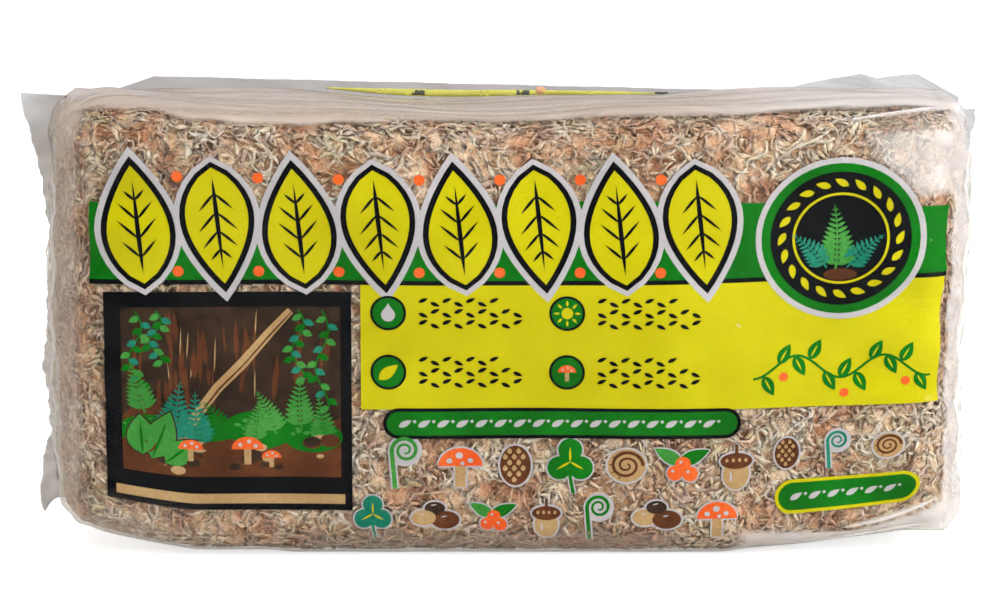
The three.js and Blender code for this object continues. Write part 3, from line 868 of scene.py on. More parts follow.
# %% Moss finish
def moss_material(name, shade, body, light):
    """A ramp from shade through body to light, driven by the tone attribute and by noise."""
    finish, tree = new_material(name)
    coords = add_node(tree, "ShaderNodeTexCoord")
    # The tone attribute holds painted shade as well as each strand's and tuft's own tone.
    tone = add_node(tree, "ShaderNodeAttribute", attribute_name="tone")
    blush, tufts, leaves = (
        add_node(
            tree,
            "ShaderNodeTexNoise",
            {
                "Vector": coords.outputs["Object"],
                "Scale": 1 / size,
                "Detail": detail,
                "Roughness": 0.65,
                "Distortion": distortion,
            },
        )
        for size, detail, distortion in (
            (BLUSH_SCALE, 2, 0.5),
            (TUFT_SCALE, 2, 1.5),
            (LEAF_SCALE, 3, 1.2),
        )
    )
    blotched = add_node(
        tree,
        "ShaderNodeMath",
        {0: tufts.outputs["Fac"], 1: 0.8, 2: tone.outputs["Fac"]},
        operation="MULTIPLY_ADD",
    )
    fleck = add_node(
        tree,
        "ShaderNodeMapRange",
        {0: leaves.outputs["Fac"], 1: 0.25, 2: 0.75, 3: 0.05, 4: 0.75},
    )
    flecked = add_node(
        tree,
        "ShaderNodeMath",
        {0: fleck.outputs[0], 1: blotched.outputs[0]},
        operation="ADD",
    )
    colours = add_node(tree, "ShaderNodeValToRGB", {"Fac": flecked.outputs[0]})
    stops = colours.color_ramp.elements
    stops[0].position, stops[0].color = 0.5, linear(shade)
    stops[1].position, stops[1].color = 1.0, linear(light)
    middle = stops.new(0.76)
    middle.color = linear(body)
    blush_share = add_node(
        tree,
        "ShaderNodeMapRange",
        {0: blush.outputs["Fac"], 1: 0.47, 2: 0.62, 3: 0.0, 4: 0.85},
    )
    blushed = add_node(
        tree,
        "ShaderNodeMix",
        {"Factor": blush_share.outputs[0], 6: colours.outputs["Color"], 7: linear(BLUSH)},
        data_type="RGBA",
        blend_type="MULTIPLY",
    )
    bump = add_node(
        tree,
        "ShaderNodeBump",
        {"Height": leaves.outputs["Fac"], "Strength": 0.7, "Distance": LEAF_SCALE},
    )
    moss = add_node(
        tree,
        "ShaderNodeBsdfPrincipled",
        {
            "Base Color": blushed.outputs[2],
            "Roughness": 0.9,
            "Specular IOR Level": 0.15,
            "Subsurface Weight": 0.5,
            "Subsurface Radius": (1.0, 0.8, 0.6),
            "Subsurface Scale": LIGHT_DEPTH,
            "Sheen Weight": 0.35,
            "Sheen Roughness": 0.6,
            "Normal": bump.outputs[0],
        },
    )
    add_node(tree, "ShaderNodeOutputMaterial", {"Surface": moss.outputs["BSDF"]})
    return finish


# %% The moss finishes
mat_finish = moss_material("sphagnum_in_shade", *MAT_TONE_IN_SHADE)
tone_finishes = {
    tone: moss_material(f"dried_sphagnum_{tone}", *colours) for tone, colours in MOSS_TONES.items()
}
print("moss finishes:", 1 + len(tone_finishes))

# %% [markdown]
# ## The moss: a woolly mat
# Between the strands one looks at more moss, not into a hole. A mat just below them carries
# rounded tufts about 5 mm wide, with a finer crumb on them, as real displacement of a finely
# cut block. It is coloured as moss in shade, and its hollows are painted darker than its
# tufts, as painted shade. The noise module shifts its vector noise by the clock unless it is
# given a seed, so it gets one, and the mat comes out the same each time.

# %% How the mat rises and falls
END_SWELL = 0.8


def swell(q):
    """Near the ends the moss fills most of the room that the loose film leaves."""
    return END_SWELL * smooth(abs(q[:, X]), HALF[X] - 30, HALF[X] - 4) * slack(q)


MAT_DEPTH, TUFT_HEIGHT, CRUMB_HEIGHT = 1.6, 1.7, 0.9
TUFT, CRUMB, WARP = 5.5, 2.1, 2.4
MAT_SEED = 53


def tufts(q):
    """How far the mat rises over its hollows, 0 to about 1, on tufts that a noise bends."""
    rise = np.zeros(len(q))
    for index, point in enumerate(q):
        at = Vector(point)
        bent = at + noise.noise_vector(at / TUFT) * WARP
        nearest = noise.voronoi(bent / TUFT)[0][0]
        rise[index] = max(0.0, 1 - 1.15 * nearest**1.5) + 0.25 * noise.noise(at / 17)
    return rise


def crumb(q):
    return np.array([noise.turbulence(Vector(point) / CRUMB, 2, True) for point in q]) - 0.6


# %% Make the moss mat
MAT_STEPS = (190, 40, 96)
MAT_HIGHEST = 0.2
mat_shape = gridded_block(MAT_STEPS)
moss_mat = new_piece("moss_mat", mat_shape, mat_finish, "moss_block")
q = crowd_to_edges(mesh_points(moss_mat.data)) * HALF
noise.seed_set(MAT_SEED)
tuft_rise, crumb_rise = tufts(q), crumb(q)
mat_lift = np.minimum(TUFT_HEIGHT * tuft_rise + CRUMB_HEIGHT * crumb_rise - MAT_DEPTH, MAT_HIGHEST)
place_points(moss_mat.data, on_brick(q, mat_lift + swell(q)))
# Painted shade: the mat is darker in its hollows and along the foot band.
mat_tone_and_shade = 0.3 * (tuft_rise - 0.6) + 0.15 * crumb_rise
store(moss_mat.data, "tone", mat_tone_and_shade - 0.2 * FOOT_BAND_SHADE * shaded_foot_band(q))
moss_mat.data.shade_smooth()
print("moss mat:", len(moss_mat.data.polygons), "faces")
print("moss mat lift:", mat_lift.min().round(1), "to", mat_lift.max().round(1), "mm")

# %% [markdown]
# ## The moss: strands
# Sphagnum's side branches are small pointed spindles, 5 to 10 mm long and between one and two
# millimetres thick, curved like shrimps and pressed flat by the film. One spindle with few
# faces is made with bmesh, an Array modifier repeats it, and seeded draws bend and lay each
# copy on the form. Thinner stems and small loose leaves fill in between them.

# %% One spindle, repeated
SPINDLE_SIDES, SPINDLE_RINGS = 3, 4


def spindle(rings):
    """A closed spindle along z from -1 to 1, each second ring turned by half a side."""
    shape = bmesh.new()
    bmesh.ops.create_uvsphere(shape, u_segments=SPINDLE_SIDES, v_segments=rings + 1, radius=1)
    for ring in range(1, rings + 1, 2):
        level = math.cos(math.pi * ring / (rings + 1))
        found = [v for v in shape.verts if abs(v.co.z - level) < 0.01]
        half_side = Matrix.Rotation(math.pi / SPINDLE_SIDES, 3, "Z")
        bmesh.ops.rotate(shape, verts=found, cent=(0, 0, 0), matrix=half_side)
    return shape


def repeated(shape, count):
    """A mesh of count copies of a small shape in one place, made by an Array modifier."""
    one_mesh = bpy.data.meshes.new("one")
    shape.to_mesh(one_mesh)
    shape.free()
    one = bpy.data.objects.new("one", one_mesh)
    bpy.context.scene.collection.objects.link(one)
    array = one.modifiers.new("repeat", "ARRAY")
    array.count = count
    array.use_relative_offset = False
    depsgraph = bpy.context.evaluated_depsgraph_get()
    mesh = bpy.data.meshes.new_from_object(one.evaluated_get(depsgraph))
    bpy.data.objects.remove(one)
    bpy.data.meshes.remove(one_mesh)
    return mesh


# %% Places on the six faces
FACE_NORMAL = np.array([Y, Y, Z, Z, X, X])
FACE_SIGN = np.array([-1, 1, 1, -1, -1, 1])
FACE_ALONG = np.array([X, X, X, X, Z, Z])
FACE_ACROSS = np.array([Z, Z, Y, Y, Y, Y])
UNIT = np.eye(3)


def scatter(count, draw):
    """Even places over the six faces, with the two directions that lie in each face."""
    areas = HALF[FACE_ALONG] * HALF[FACE_ACROSS]
    face = draw.choice(6, size=count, p=areas / areas.sum())
    place = draw.uniform(-1, 1, (count, 3)) * HALF
    place[np.arange(count), FACE_NORMAL[face]] = (FACE_SIGN * HALF[FACE_NORMAL])[face]
    return place, UNIT[FACE_ALONG[face]], UNIT[FACE_ACROSS[face]]


# %% Bend and lay the strands
PATH_STEP = 0.05
FILM_REST = 0.3
TAPER = np.array([1.0, 0.55, 0.95, 1.2, 1.0, 1.0])


def strand_points(unit, full, spots, drawn):
    """Bends each copy along its own path on the form. drawn holds one number per strand."""
    place, along, across = spots
    share = unit[None, :, Z]
    column = {name: values[:, None] for name, values in drawn.items()}

    def path(at):
        turn = column["heading"] + column["bend"] * at / 2
        ahead = np.cos(turn) * column["length"] * at / 2
        aside = np.sin(turn) * column["length"] * at / 2
        q = place[:, None] + along[:, None] * ahead[..., None] + across[:, None] * aside[..., None]
        return q.reshape(-1, 3)

    def unit_rows(rows):
        return rows / np.linalg.norm(rows, axis=1, keepdims=True)

    bed = path(share)
    foot = on_brick(bed, swell(bed))
    up = unit_rows(on_brick(bed, 1) - on_brick(bed, 0))
    ahead = on_brick(path(share + PATH_STEP), 0) - on_brick(path(share - PATH_STEP), 0)
    side = unit_rows(np.cross(ahead, up))
    cos, sin = np.cos(column["roll"]), np.sin(column["roll"])
    sideways = (unit[None, :, X] * cos - unit[None, :, Y] * sin) * column["half_width"] * full
    rise = (unit[None, :, X] * sin + unit[None, :, Y] * cos) * column["half_height"] * full
    rise = rise + column["depth"] + column["arch"] * (1 - share**2) + column["tilt"] * share
    rise = np.minimum(rise, FILM_REST - column["pressed"])
    return foot + up * rise.reshape(-1, 1) + side * sideways.reshape(-1, 1)


def fullness(unit, count, draw):
    """How full each copy is at each vertex, from its pointed tip to its blunt root."""
    taper = np.interp(unit[:, Z], np.linspace(-1, 1, len(TAPER)), TAPER)
    return taper * draw.uniform(0.65, 1.4, (count, len(unit)))


# %% Where each tone lies, and which way the strands lie
STRAND_COUNT = 17000
TONE_SHARES = {"straw": 0.33, "buff": 0.31, "russet": 0.2, "olive": 0.16}


def tone_of(place, draw):
    """Sorts strands into tones: mostly at random, partly in patches a few centimetres wide."""
    patch = wave(place[:, X] + 0.6 * place[:, Y], 19) * wave(place[:, Z] + 0.3 * place[:, X], 23)
    patch += 0.7 * wave(place[:, X] - place[:, Z], 37)
    rank = np.argsort(np.argsort(0.9 * patch + draw.uniform(0, 1, len(place))))
    bounds = np.cumsum(list(TONE_SHARES.values()))
    return np.searchsorted(bounds, (rank + 0.5) / len(place))


def lie(place):
    """The way neighbours lie together, in clumps a few centimetres wide, as an angle."""
    across = place[:, Z] + 0.8 * place[:, Y]
    turn = 2.2 * wave(place[:, X] + 0.5 * across, 71) + 1.9 * wave(across - 0.4 * place[:, X], 47)
    return turn + 1.3 * wave(place[:, X] - across, 29)


def strand_draws(place, draw):
    count = len(place)
    return {
        "length": draw.uniform(5.0, 10.5, count),
        "half_width": draw.uniform(0.5, 0.95, count),
        "half_height": draw.uniform(0.4, 0.75, count),
        "heading": lie(place) + draw.normal(0, 1.0, count) + np.pi * draw.integers(0, 2, count),
        "bend": draw.uniform(-2.6, 2.6, count),
        "depth": -0.1 - 1.4 * draw.uniform(0, 1, count),
        "arch": draw.uniform(0, 0.9, count),
        "tilt": draw.uniform(-1.1, 1.1, count),
        "roll": draw.uniform(0, 2 * np.pi, count),
        "pressed": draw.uniform(0, 0.3, count),
    }


# %% Make the moss strands
def clump_tone_and_shade(place):
    """How light the moss is in clumps, with painted shade: darker towards the left end, away from
    the light, where the moss is also browner, and along the foot band.
    """
    x, y, z = place[:, X], place[:, Y], place[:, Z]
    clump = 0.5 * wave(x + y, 13.7) * wave(z - y, 11.3)
    clump += 0.5 * wave(x - 0.7 * z, 23) * wave(z + 0.4 * x, 31)
    return clump - (0.5 * smooth(-x, 50, 115) + FOOT_BAND_SHADE * shaded_foot_band(place))


def moss_piece(name, rings, spots, drawn, finish, draw):
    """One piece of many strands, repeated, bent and laid, each with its own tone."""
    place = spots[0]
    count = len(place)
    mesh = repeated(spindle(rings), count)
    unit = mesh_points(mesh)[: len(mesh.vertices) // count]
    place_points(mesh, strand_points(unit, fullness(unit, count, draw), spots, drawn))
    # Each strand's tone carries the painted shade of its clump as well as its own tone.
    own_tone_and_shade = 0.2 * clump_tone_and_shade(place) + draw.uniform(-0.1, 0.1, count)
    own_tone_and_shade = own_tone_and_shade[:, None] + 0.05 * unit[None, :, Z]
    store(mesh, "tone", own_tone_and_shade.ravel())
    mesh.shade_smooth()
    mesh.materials.append(finish)
    piece = bpy.data.objects.new(name, mesh)
    bpy.context.scene.collection.objects.link(piece)
    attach(piece, "root")
    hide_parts("moss_block")
    print(name, count, "strands,", sum(len(f.vertices) - 2 for f in mesh.polygons), "triangles")
    return piece


draw = np.random.default_rng(4711)
place, along, across = scatter(STRAND_COUNT, draw)
tones = tone_of(place, draw)
for index, (tone, finish) in enumerate(tone_finishes.items()):
    spots = (place[tones == index], along[tones == index], across[tones == index])
    drawn = strand_draws(spots[0], draw)
    moss_piece(f"moss_strands_{tone}", SPINDLE_RINGS, spots, drawn, finish, draw)

# %% Make the stems and the loose leaves between them
STEM_COUNT, LEAF_COUNT = 2200, 6000
STEM_RINGS, LEAF_RINGS = 2, 1
for tone in ("straw", "russet"):
    spots = scatter(STEM_COUNT, draw)
    drawn = strand_draws(spots[0], draw)
    drawn["length"] = draw.uniform(3, 9, STEM_COUNT)
    drawn["half_width"] = draw.uniform(0.25, 0.45, STEM_COUNT)
    drawn["half_height"] = draw.uniform(0.2, 0.4, STEM_COUNT)
    drawn["depth"] = -0.1 - 1.2 * draw.uniform(0, 1, STEM_COUNT)
    moss_piece(f"moss_stems_{tone}", STEM_RINGS, spots, drawn, tone_finishes[tone], draw)
for tone in ("straw", "buff"):
    spots = scatter(LEAF_COUNT, draw)
    drawn = strand_draws(spots[0], draw)
    drawn["length"] = draw.uniform(1.2, 3.2, LEAF_COUNT)
    drawn["half_width"] = draw.uniform(0.25, 0.5, LEAF_COUNT)
    drawn["half_height"] = draw.uniform(0.15, 0.35, LEAF_COUNT)
    drawn["depth"] = -0.1 - 1.3 * draw.uniform(0, 1, LEAF_COUNT)
    drawn["heading"] = draw.uniform(0, 2 * np.pi, LEAF_COUNT)
    moss_piece(f"moss_leaves_{tone}", LEAF_RINGS, spots, drawn, tone_finishes[tone], draw)

# %% [markdown]
# ## The print: drawing in flat millimetres
# The film is printed on its inner side with flexographic inks: bold yellow leaves with dark
# and white lines round them, a green band and a yellow panel. Each shape is an outline in flat
# millimetres, x to the right and z up from the brick's centre. Shapes are stacked in levels,
# like layers of ink, so that a higher level hides a lower one.

# %% Outlines of single shapes
drawing = []
INKS = ["white", "yellow", "green", "black", "leaf_green", "teal", "orange", "brown", "tan", "soil"]


def ink(name, level, outline):
    drawing.append((INKS.index(name), level, np.asarray(outline, dtype=float)))


def turned(outline, degrees, x=0.0, z=0.0, scale=1.0):
    angle = math.radians(degrees)
    turn = np.array([[math.cos(angle), math.sin(angle)], [-math.sin(angle), math.cos(angle)]])
    return outline @ turn * scale + (x, z)


def circle(x, z, radius, squash=1.0, count=28):
    turn = np.linspace(0, 2 * np.pi, count, endpoint=False)
    return np.stack([x + radius * np.cos(turn), z + radius * squash * np.sin(turn)], 1)


def leaf(x, z, length, width, degrees, grow=0.0, count=8):
    """A pointed leaf from its foot at x, z. grow widens it all round, for a line behind it."""
    share = np.linspace(0, 1, count)
    spine = share * (length + 2.6 * grow) - grow
    half = (width / 2 + grow) * np.sin(np.pi * share**0.8) ** 0.9
    edge = np.stack([spine, half], 1)
    outline = np.concatenate([edge, edge[-2:0:-1] * (1, -1)])
    return turned(outline, degrees, x, z)


def pill(x0, x1, z0, z1):
    """A bar with half-round ends."""
    radius = (z1 - z0) / 2
    turn = np.linspace(-np.pi / 2, np.pi / 2, 14)
    right = np.stack([x1 - radius + radius * np.cos(turn), z0 + radius + radius * np.sin(turn)], 1)
    left = right[::-1] * (-1, 1) + (x0 + x1, 0)
    return np.concatenate([right, left])


# %% Outlines of bands and lines
def band(x0, x1, low, high, count=60):
    """The area between two heights, each a number or a curve along x."""
    x = np.linspace(x0, x1, count)
    under = low(x) if callable(low) else np.full(count, low)
    over = high(x) if callable(high) else np.full(count, high)
    return np.concatenate([np.stack([x, under], 1), np.stack([x, over], 1)[::-1]])


def stroke(points, widths):
    """A line of changing width along points."""
    points = np.asarray(points, dtype=float)
    along = np.gradient(points, axis=0)
    along /= np.linalg.norm(along, axis=1, keepdims=True)
    aside = along[:, ::-1] * (-1, 1) * np.reshape(widths, (-1, 1)) / 2
    return np.concatenate([points + aside, (points - aside)[::-1]])


# %% [markdown]
# ### Bands, panel and frieze
# A green band runs over a yellow panel, with a black line between. On the band stands a
# plain leaf frieze: broad yellow leaves that point up and down in turn, outlined in black and
# then in white, so that they stand out from moss and band alike.

# %% Band and panel
PRINT_LEFT, PRINT_RIGHT = -114.0, 118.5
BAND_FOOT, BAND_TOP = 16.2, 37.5
BAND_LINE = 1.3
YELLOW_LEFT, YELLOW_RIGHT, YELLOW_FOOT = -41, 117.8, -20


def band_top(x):
    return BAND_TOP + 1.6 * wave(x + 20, 190)


def band_foot(x):
    return BAND_FOOT + 1.4 * ramp(x, 0, 120) ** 1.5


def panel_top(x):
    return band_foot(x) - BAND_LINE


ink("green", 1, band(PRINT_LEFT, PRINT_RIGHT, band_foot, band_top))
ink("black", 1, band(PRINT_LEFT, PRINT_RIGHT, panel_top, band_foot))
ink("yellow", 1, band(YELLOW_LEFT, YELLOW_RIGHT, YELLOW_FOOT, panel_top))
print("band and panel drawn:", len(drawing), "outlines so far")

# %% Leaf frieze
FRIEZE_PLACES = np.linspace(-101, 51, 8)
FRIEZE_MIDDLE, FRIEZE_LEAN = 31.5, 6
FRIEZE_LENGTH, FRIEZE_WIDTH = 33, 17
BLACK_LINE, WHITE_LINE = 1.6, 3.2
VEIN_PLACES, VEIN_LEAN = (0.22, 0.38, 0.54, 0.7), 44
DOT_HEIGHTS, DOT_RADIUS = (45.2, 18.6), 1.5


def outlined(level, outline_at):
    """A yellow shape with a black line round it and a white line round that."""
    ink("white", level, outline_at(WHITE_LINE))
    ink("black", level + 1, outline_at(BLACK_LINE))
    ink("yellow", level + 2, outline_at(0))


def beech_leaf(middle, length, width, degrees, level):
    """A leaf about its middle, with a midrib and pairs of side veins."""
    ahead = np.array([math.cos(math.radians(degrees)), math.sin(math.radians(degrees))])
    x, z = middle - ahead * length / 2
    outlined(level, lambda grow: leaf(x, z, length, width, degrees, grow, 14))
    ink("black", level + 3, leaf(*(ahead * length * 0.08 + (x, z)), length * 0.8, 1.3, degrees))
    for share in VEIN_PLACES:
        start = ahead * length * share + (x, z)
        reach = width * 0.46 * math.sin(math.pi * (share + 0.12))
        for lean in (-VEIN_LEAN, VEIN_LEAN):
            ink("black", level + 3, leaf(*start, reach, 0.85, degrees + lean, 0, 6))


for index, x in enumerate(FRIEZE_PLACES):
    points_to = 90 + FRIEZE_LEAN + 180 * (index % 2)
    beech_leaf(np.array([x, FRIEZE_MIDDLE]), FRIEZE_LENGTH, FRIEZE_WIDTH, points_to, 2)
for middle in (FRIEZE_PLACES[:-1] + FRIEZE_PLACES[1:]) / 2:
    for height in DOT_HEIGHTS:
        ink("orange", 5, circle(middle, height, DOT_RADIUS, 1, 20))
print("frieze drawn:", len(drawing), "outlines so far")

# %% [markdown]
# ### Medallion and badges
# A round seal with three ferns inside a wreath fills the right of the band, and pill-shaped
# badges with a row of small leaves sit below.

# %% Medallion
SEAL_X, SEAL_Z = MEDALLION
for ink_name, level, radius in (
    ("white", 5, MEDALLION_RADIUS),
    ("green", 6, 21.6),
    ("black", 7, 19.2),
    ("yellow", 8, 13.2),
    ("black", 9, 12.5),
):
    ink(ink_name, level, circle(SEAL_X, SEAL_Z, radius, 0.98, 48))
WREATH_LEAVES, WREATH_LENGTH, WREATH_LEAN = 20, 4.2, 62
for step in range(WREATH_LEAVES):
    turn = 360 * step / WREATH_LEAVES
    points_to = turn + WREATH_LEAN
    x = SEAL_X + 16.1 * math.cos(math.radians(turn))
    z = SEAL_Z + 15.8 * math.sin(math.radians(turn))
    x -= WREATH_LENGTH / 2 * math.cos(math.radians(points_to))
    z -= WREATH_LENGTH / 2 * math.sin(math.radians(points_to))
    ink("yellow", 8, leaf(x, z, WREATH_LENGTH, 1.9, points_to, 0, 7))
print("wreath drawn:", WREATH_LEAVES, "leaves")

# %% Ferns
LEAFLET_LEAN = 62


def frond(x, z, length, degrees, curl, level, colour, pairs=9, fullness=0.3):
    """A fern frond: a curved stem with pairs of leaflets that shorten towards the tip."""
    share = np.linspace(0, 1, pairs + 3)
    turn = np.radians(degrees + curl * share)
    step = length / len(share)
    stem = np.cumsum(np.stack([np.cos(turn), np.sin(turn)], 1) * step, axis=0) + (x, z)
    ink(colour, level, stroke(stem, np.linspace(length * 0.035, length * 0.012, len(share))))
    swelling = np.sin(np.pi * (0.12 + 0.86 * (1 - share) * 0.62)) * (1.1 - share * 0.8)
    for index in range(1, pairs + 2):
        reach = length * fullness * swelling[index]
        for side in (-1, 1):
            angle = math.degrees(turn[index]) + side * LEAFLET_LEAN
            ink(colour, level, leaf(*stem[index], reach, reach * 0.34, angle, 0, 6))


frond(SEAL_X - 1.5, SEAL_Z - 10.5, 20, 84, 14, 10, "leaf_green", 10)
frond(SEAL_X - 3, SEAL_Z - 9.5, 15, 122, 24, 10, "teal", 8)
frond(SEAL_X + 1, SEAL_Z - 9.5, 15, 56, -24, 10, "teal", 8)
ink("brown", 11, circle(SEAL_X, SEAL_Z - 10.2, 4.6, 0.36, 24))

# %% Badges
BADGE_PITCH = 5.2


def badge(x0, x1, z0, z1, rim, level):
    """A green pill with a rim and a row of small white leaves and dots."""
    ink(rim, level, pill(x0 - 1, x1 + 1, z0 - 1, z1 + 1))
    ink("green", level + 1, pill(x0, x1, z0, z1))
    middle = (z0 + z1) / 2
    for x in np.arange(x0 + 5, x1 - 4, BADGE_PITCH):
        ink("white", level + 2, leaf(x - 1.7, middle - 0.9, 3.9, 1.7, 28, 0, 7))
        ink("white", level + 2, circle(x + 2.6, middle + 0.6, 0.45, 1, 10))


badge(-34, 62, -27.3, -20.6, "black", 3)
badge(74, 112, -50.5, -42.5, "yellow", 3)
print("medallion and badges drawn:", len(drawing), "outlines so far")

# %% [markdown]
# ### Icons on the yellow panel
# Four round icons, a drop, a leaf, a sun and a toadstool, each lead three rows of small dark
# leaves. A vine with berries runs along the right of the panel.


# %% Shapes for the icons
def drop(x, z, size):
    turn = np.linspace(0, 2 * np.pi, 28, endpoint=False)
    pull = 1 + 0.75 * np.clip(np.sin(turn), 0, 1) ** 5
    return np.stack([x + size * np.cos(turn) * (2 - pull), z + size * np.sin(turn) * pull], 1)


def toadstool(x, z, size, cap, level):
    """A toadstool with a half-round cap and three spots."""
    ink("tan", level, band(x - size * 0.22, x + size * 0.22, z - size, z + size * 0.1, 4))
    top = circle(x, z, size, 0.82, 30)
    ink(cap, level + 1, top[top[:, 1] >= z - 0.01])
    for dx, dz in ((-0.45, 0.3), (0.1, 0.52), (0.5, 0.22)):
        ink("white", level + 2, circle(x + dx * size, z + dz * size, size * 0.13, 1, 10))


# %% Icons and rows of leaves
ICON_X, ICON_Z = (-33.5, 15.0), (7.0, -9.5)
ROW_START, ROW_LEAF_PITCH, ROW_PITCH, ROW_LEAN = 8.2, 3.2, 3.1, 24
LEAVES_IN_ROW = {-1: 9, 0: 9, 1: 7}
for x in ICON_X:
    for z in ICON_Z:
        ink("black", 3, circle(x, z, 4.9, 1, 36))
        ink("green", 4, circle(x, z, 4.2, 1, 36))
        for row, leaves in LEAVES_IN_ROW.items():
            for step in range(leaves):
                lean = ROW_LEAN if (step + row) % 2 else -ROW_LEAN
                row_x = x + ROW_START + step * ROW_LEAF_PITCH
                ink("black", 3, leaf(row_x, z + row * ROW_PITCH, 2.9, 1.15, lean, 0, 6))
ink("white", 5, drop(ICON_X[0], ICON_Z[0] - 0.5, 1.9))
ink("yellow", 5, leaf(ICON_X[0] - 2.6, ICON_Z[1] - 2, 6.6, 3.1, 38))
ink("yellow", 5, circle(ICON_X[1], ICON_Z[0], 1.6, 1, 24))
for step in range(8):
    ray = turned(leaf(2.0, 0, 1.7, 0.7, 0, 0, 5), 45 * step, ICON_X[1], ICON_Z[0])
    ink("yellow", 5, ray)
toadstool(ICON_X[1], ICON_Z[1], 2.5, "orange", 5)

# %% Vine
VINE_STEPS = 36
vine_x = np.linspace(66, 115, VINE_STEPS)
vine_z = -8.5 + 3.2 * wave(vine_x, 24)
ink("green", 3, stroke(np.stack([vine_x, vine_z], 1), np.full(VINE_STEPS, 0.7)))
for index in range(2, VINE_STEPS - 1, 3):
    side = 1 if index % 2 else -1
    x, z = vine_x[index], vine_z[index]
    ink("green", 4, leaf(x, z, 6.4, 3.4, side * LEAFLET_LEAN))
    ink("yellow", 5, leaf(x + 0.4, z + side * 0.8, 3.8, 0.5, side * LEAFLET_LEAN, 0, 6))
for index in (6, 18, 30):
    ink("orange", 4, circle(vine_x[index], vine_z[index] - 4.6, 1.3, 1, 16))
print("icons drawn:", len(drawing), "outlines so far")

# %% [markdown]
# ### The picture panel
# A dark frame holds a planted scene: bark behind brown ground, cushions of green moss, a
# leaning branch, ferns, climbers, a broad-leaved plant, pebbles and toadstools. Seeded draws
# vary the bark, the ferns and the pebbles.

# %% Frame, ground and bark
FRAME_LEFT, FRAME_RIGHT, FRAME_FOOT, FRAME_TOP = -110.5, -43.5, -49.0, 12.8
BARK_STROKES = 44
left, right = FRAME_LEFT + 4.5, FRAME_RIGHT - 3.0
foot, top = FRAME_FOOT + 9.5, FRAME_TOP - 4.2
paint = np.random.default_rng(29)


def ground(x):
    return -24 + 4 * wave(x, 55) + 2 * wave(x, 21)


ink("black", 2, band(FRAME_LEFT, FRAME_RIGHT, FRAME_FOOT, FRAME_TOP, 24))
ink("soil", 3, band(left, right, foot, top, 24))
ink("brown", 4, band(left, right, foot, ground, 30))
ink("tan", 3, band(FRAME_LEFT + 2.5, FRAME_RIGHT - 2.0, FRAME_FOOT + 1.8, FRAME_FOOT + 4.6, 20))
for _ in range(BARK_STROKES):
    x, z = paint.uniform(left + 2, right - 2), paint.uniform(-22, top - 9)
    height = min(paint.uniform(6, 16), top - 0.5 - z)
    bark = paint.choice(["brown", "brown", "brown", "tan"])
    width = paint.uniform(0.7, 1.9) if bark == "brown" else 0.35
    ink(bark, 4, leaf(x, z, height, width, paint.uniform(84, 96), 0, 6))

# %% Moss cushions
CUSHIONS = ((-98, -27, 9), (-82, -25.5, 7), (-69, -26, 10), (-54, -28, 8))
for x, z, size in CUSHIONS:
    cushion = circle(x, z, size, 0.55, 26)
    ink("green", 5, np.maximum(cushion, (left, foot)))
    for _ in range(12):
        turn, reach = paint.uniform(0.2, 2.9), size * paint.uniform(0.2, 0.92)
        at = (x + reach * math.cos(turn), z + 0.5 * reach * math.sin(turn))
        ink("leaf_green", 6, circle(*at, paint.uniform(0.4, 0.9), 0.7, 8))
print("ground, bark and cushions drawn:", len(drawing), "outlines so far")


# %% Branch and ferns
BRANCH = np.array(
    [(-60, 7.5), (-66, 1), (-73, -7), (-80, -14), (-86, -22), (-91, -30), (-95, -36.5)]
)
FORK = BRANCH[2:5] + [(0, 0), (8.5, 9.5), (17, 19)]
ink("tan", 6, stroke(BRANCH, [2.0, 2.6, 2.9, 2.8, 2.7, 2.4, 1.6]))
ink("brown", 7, stroke(BRANCH + (0.5, -0.2), [0.3, 0.5, 0.4, 0.6, 0.4, 0.4, 0.2]))
ink("tan", 6, stroke(FORK, [1.8, 1.4, 0.9]))
FERN_X = (-99.5, -95.5, -91, -84, -77.5, -70, -64, -57, -52)
for x in FERN_X:
    z = paint.uniform(-34, -22)
    length, degrees, curl = paint.uniform(13, 21), paint.uniform(76, 104), paint.uniform(-40, 40)
    shade = paint.choice(["leaf_green", "green", "teal"])
    frond(x, z, length, degrees, curl, 8, shade, 9)
print("branch and ferns drawn:", len(drawing), "outlines so far")


# %% Climbers
def climber(x, z, reach, level):
    """A hanging stem with small pointed leaves on both sides."""
    fall = np.linspace(0, 1, 14)
    stem = np.stack([x + 1.8 * wave(fall, 0.8), z - reach * fall], 1)
    ink("green", level, stroke(stem, np.full(14, 0.45)))
    for index, place in enumerate(stem[1:]):
        side = 1 if index % 2 else -1
        shade = ("leaf_green", "teal", "green")[index % 3]
        ink(shade, level + 1, leaf(*place, 3.0, 1.9, -90 + side * 64, 0, 6))


for x, reach in ((-102, 22), (-96.5, 14), (-58, 19), (-51.5, 27)):
    climber(x, top - 1, reach, 5)

# %% Plant, pebbles and toadstools
BROAD_LEAVES = ((-100.5, -34, 12, 8, 94), (-98, -35, 15, 8.5, 70), (-94.5, -36, 11, 7, 40))
PEBBLES = 26
for x, z, length, width, lean in BROAD_LEAVES:
    ink("soil", 9, leaf(x, z, length, width, lean, 0.4))
    ink("leaf_green", 10, leaf(x, z, length, width, lean))
    ink("green", 11, leaf(x, z, length * 0.85, 0.8, lean))
for _ in range(PEBBLES):
    x, z = paint.uniform(left + 3, right - 3), paint.uniform(foot + 1.4, -28)
    size = paint.uniform(1.0, 2.7)
    ink("brown", 9, circle(x, z - 0.3, size + 0.25, 0.66, 16))
    ink(paint.choice(["tan", "soil", "brown"]), 10, circle(x, z, size, 0.62, 16))
for x, z, size in ((-87.5, -31.5, 3.4), (-72, -31.5, 4.4), (-65.5, -34, 2.7)):
    toadstool(x, z, size, "orange", 11)
print("picture drawn:", len(drawing), "outlines so far")

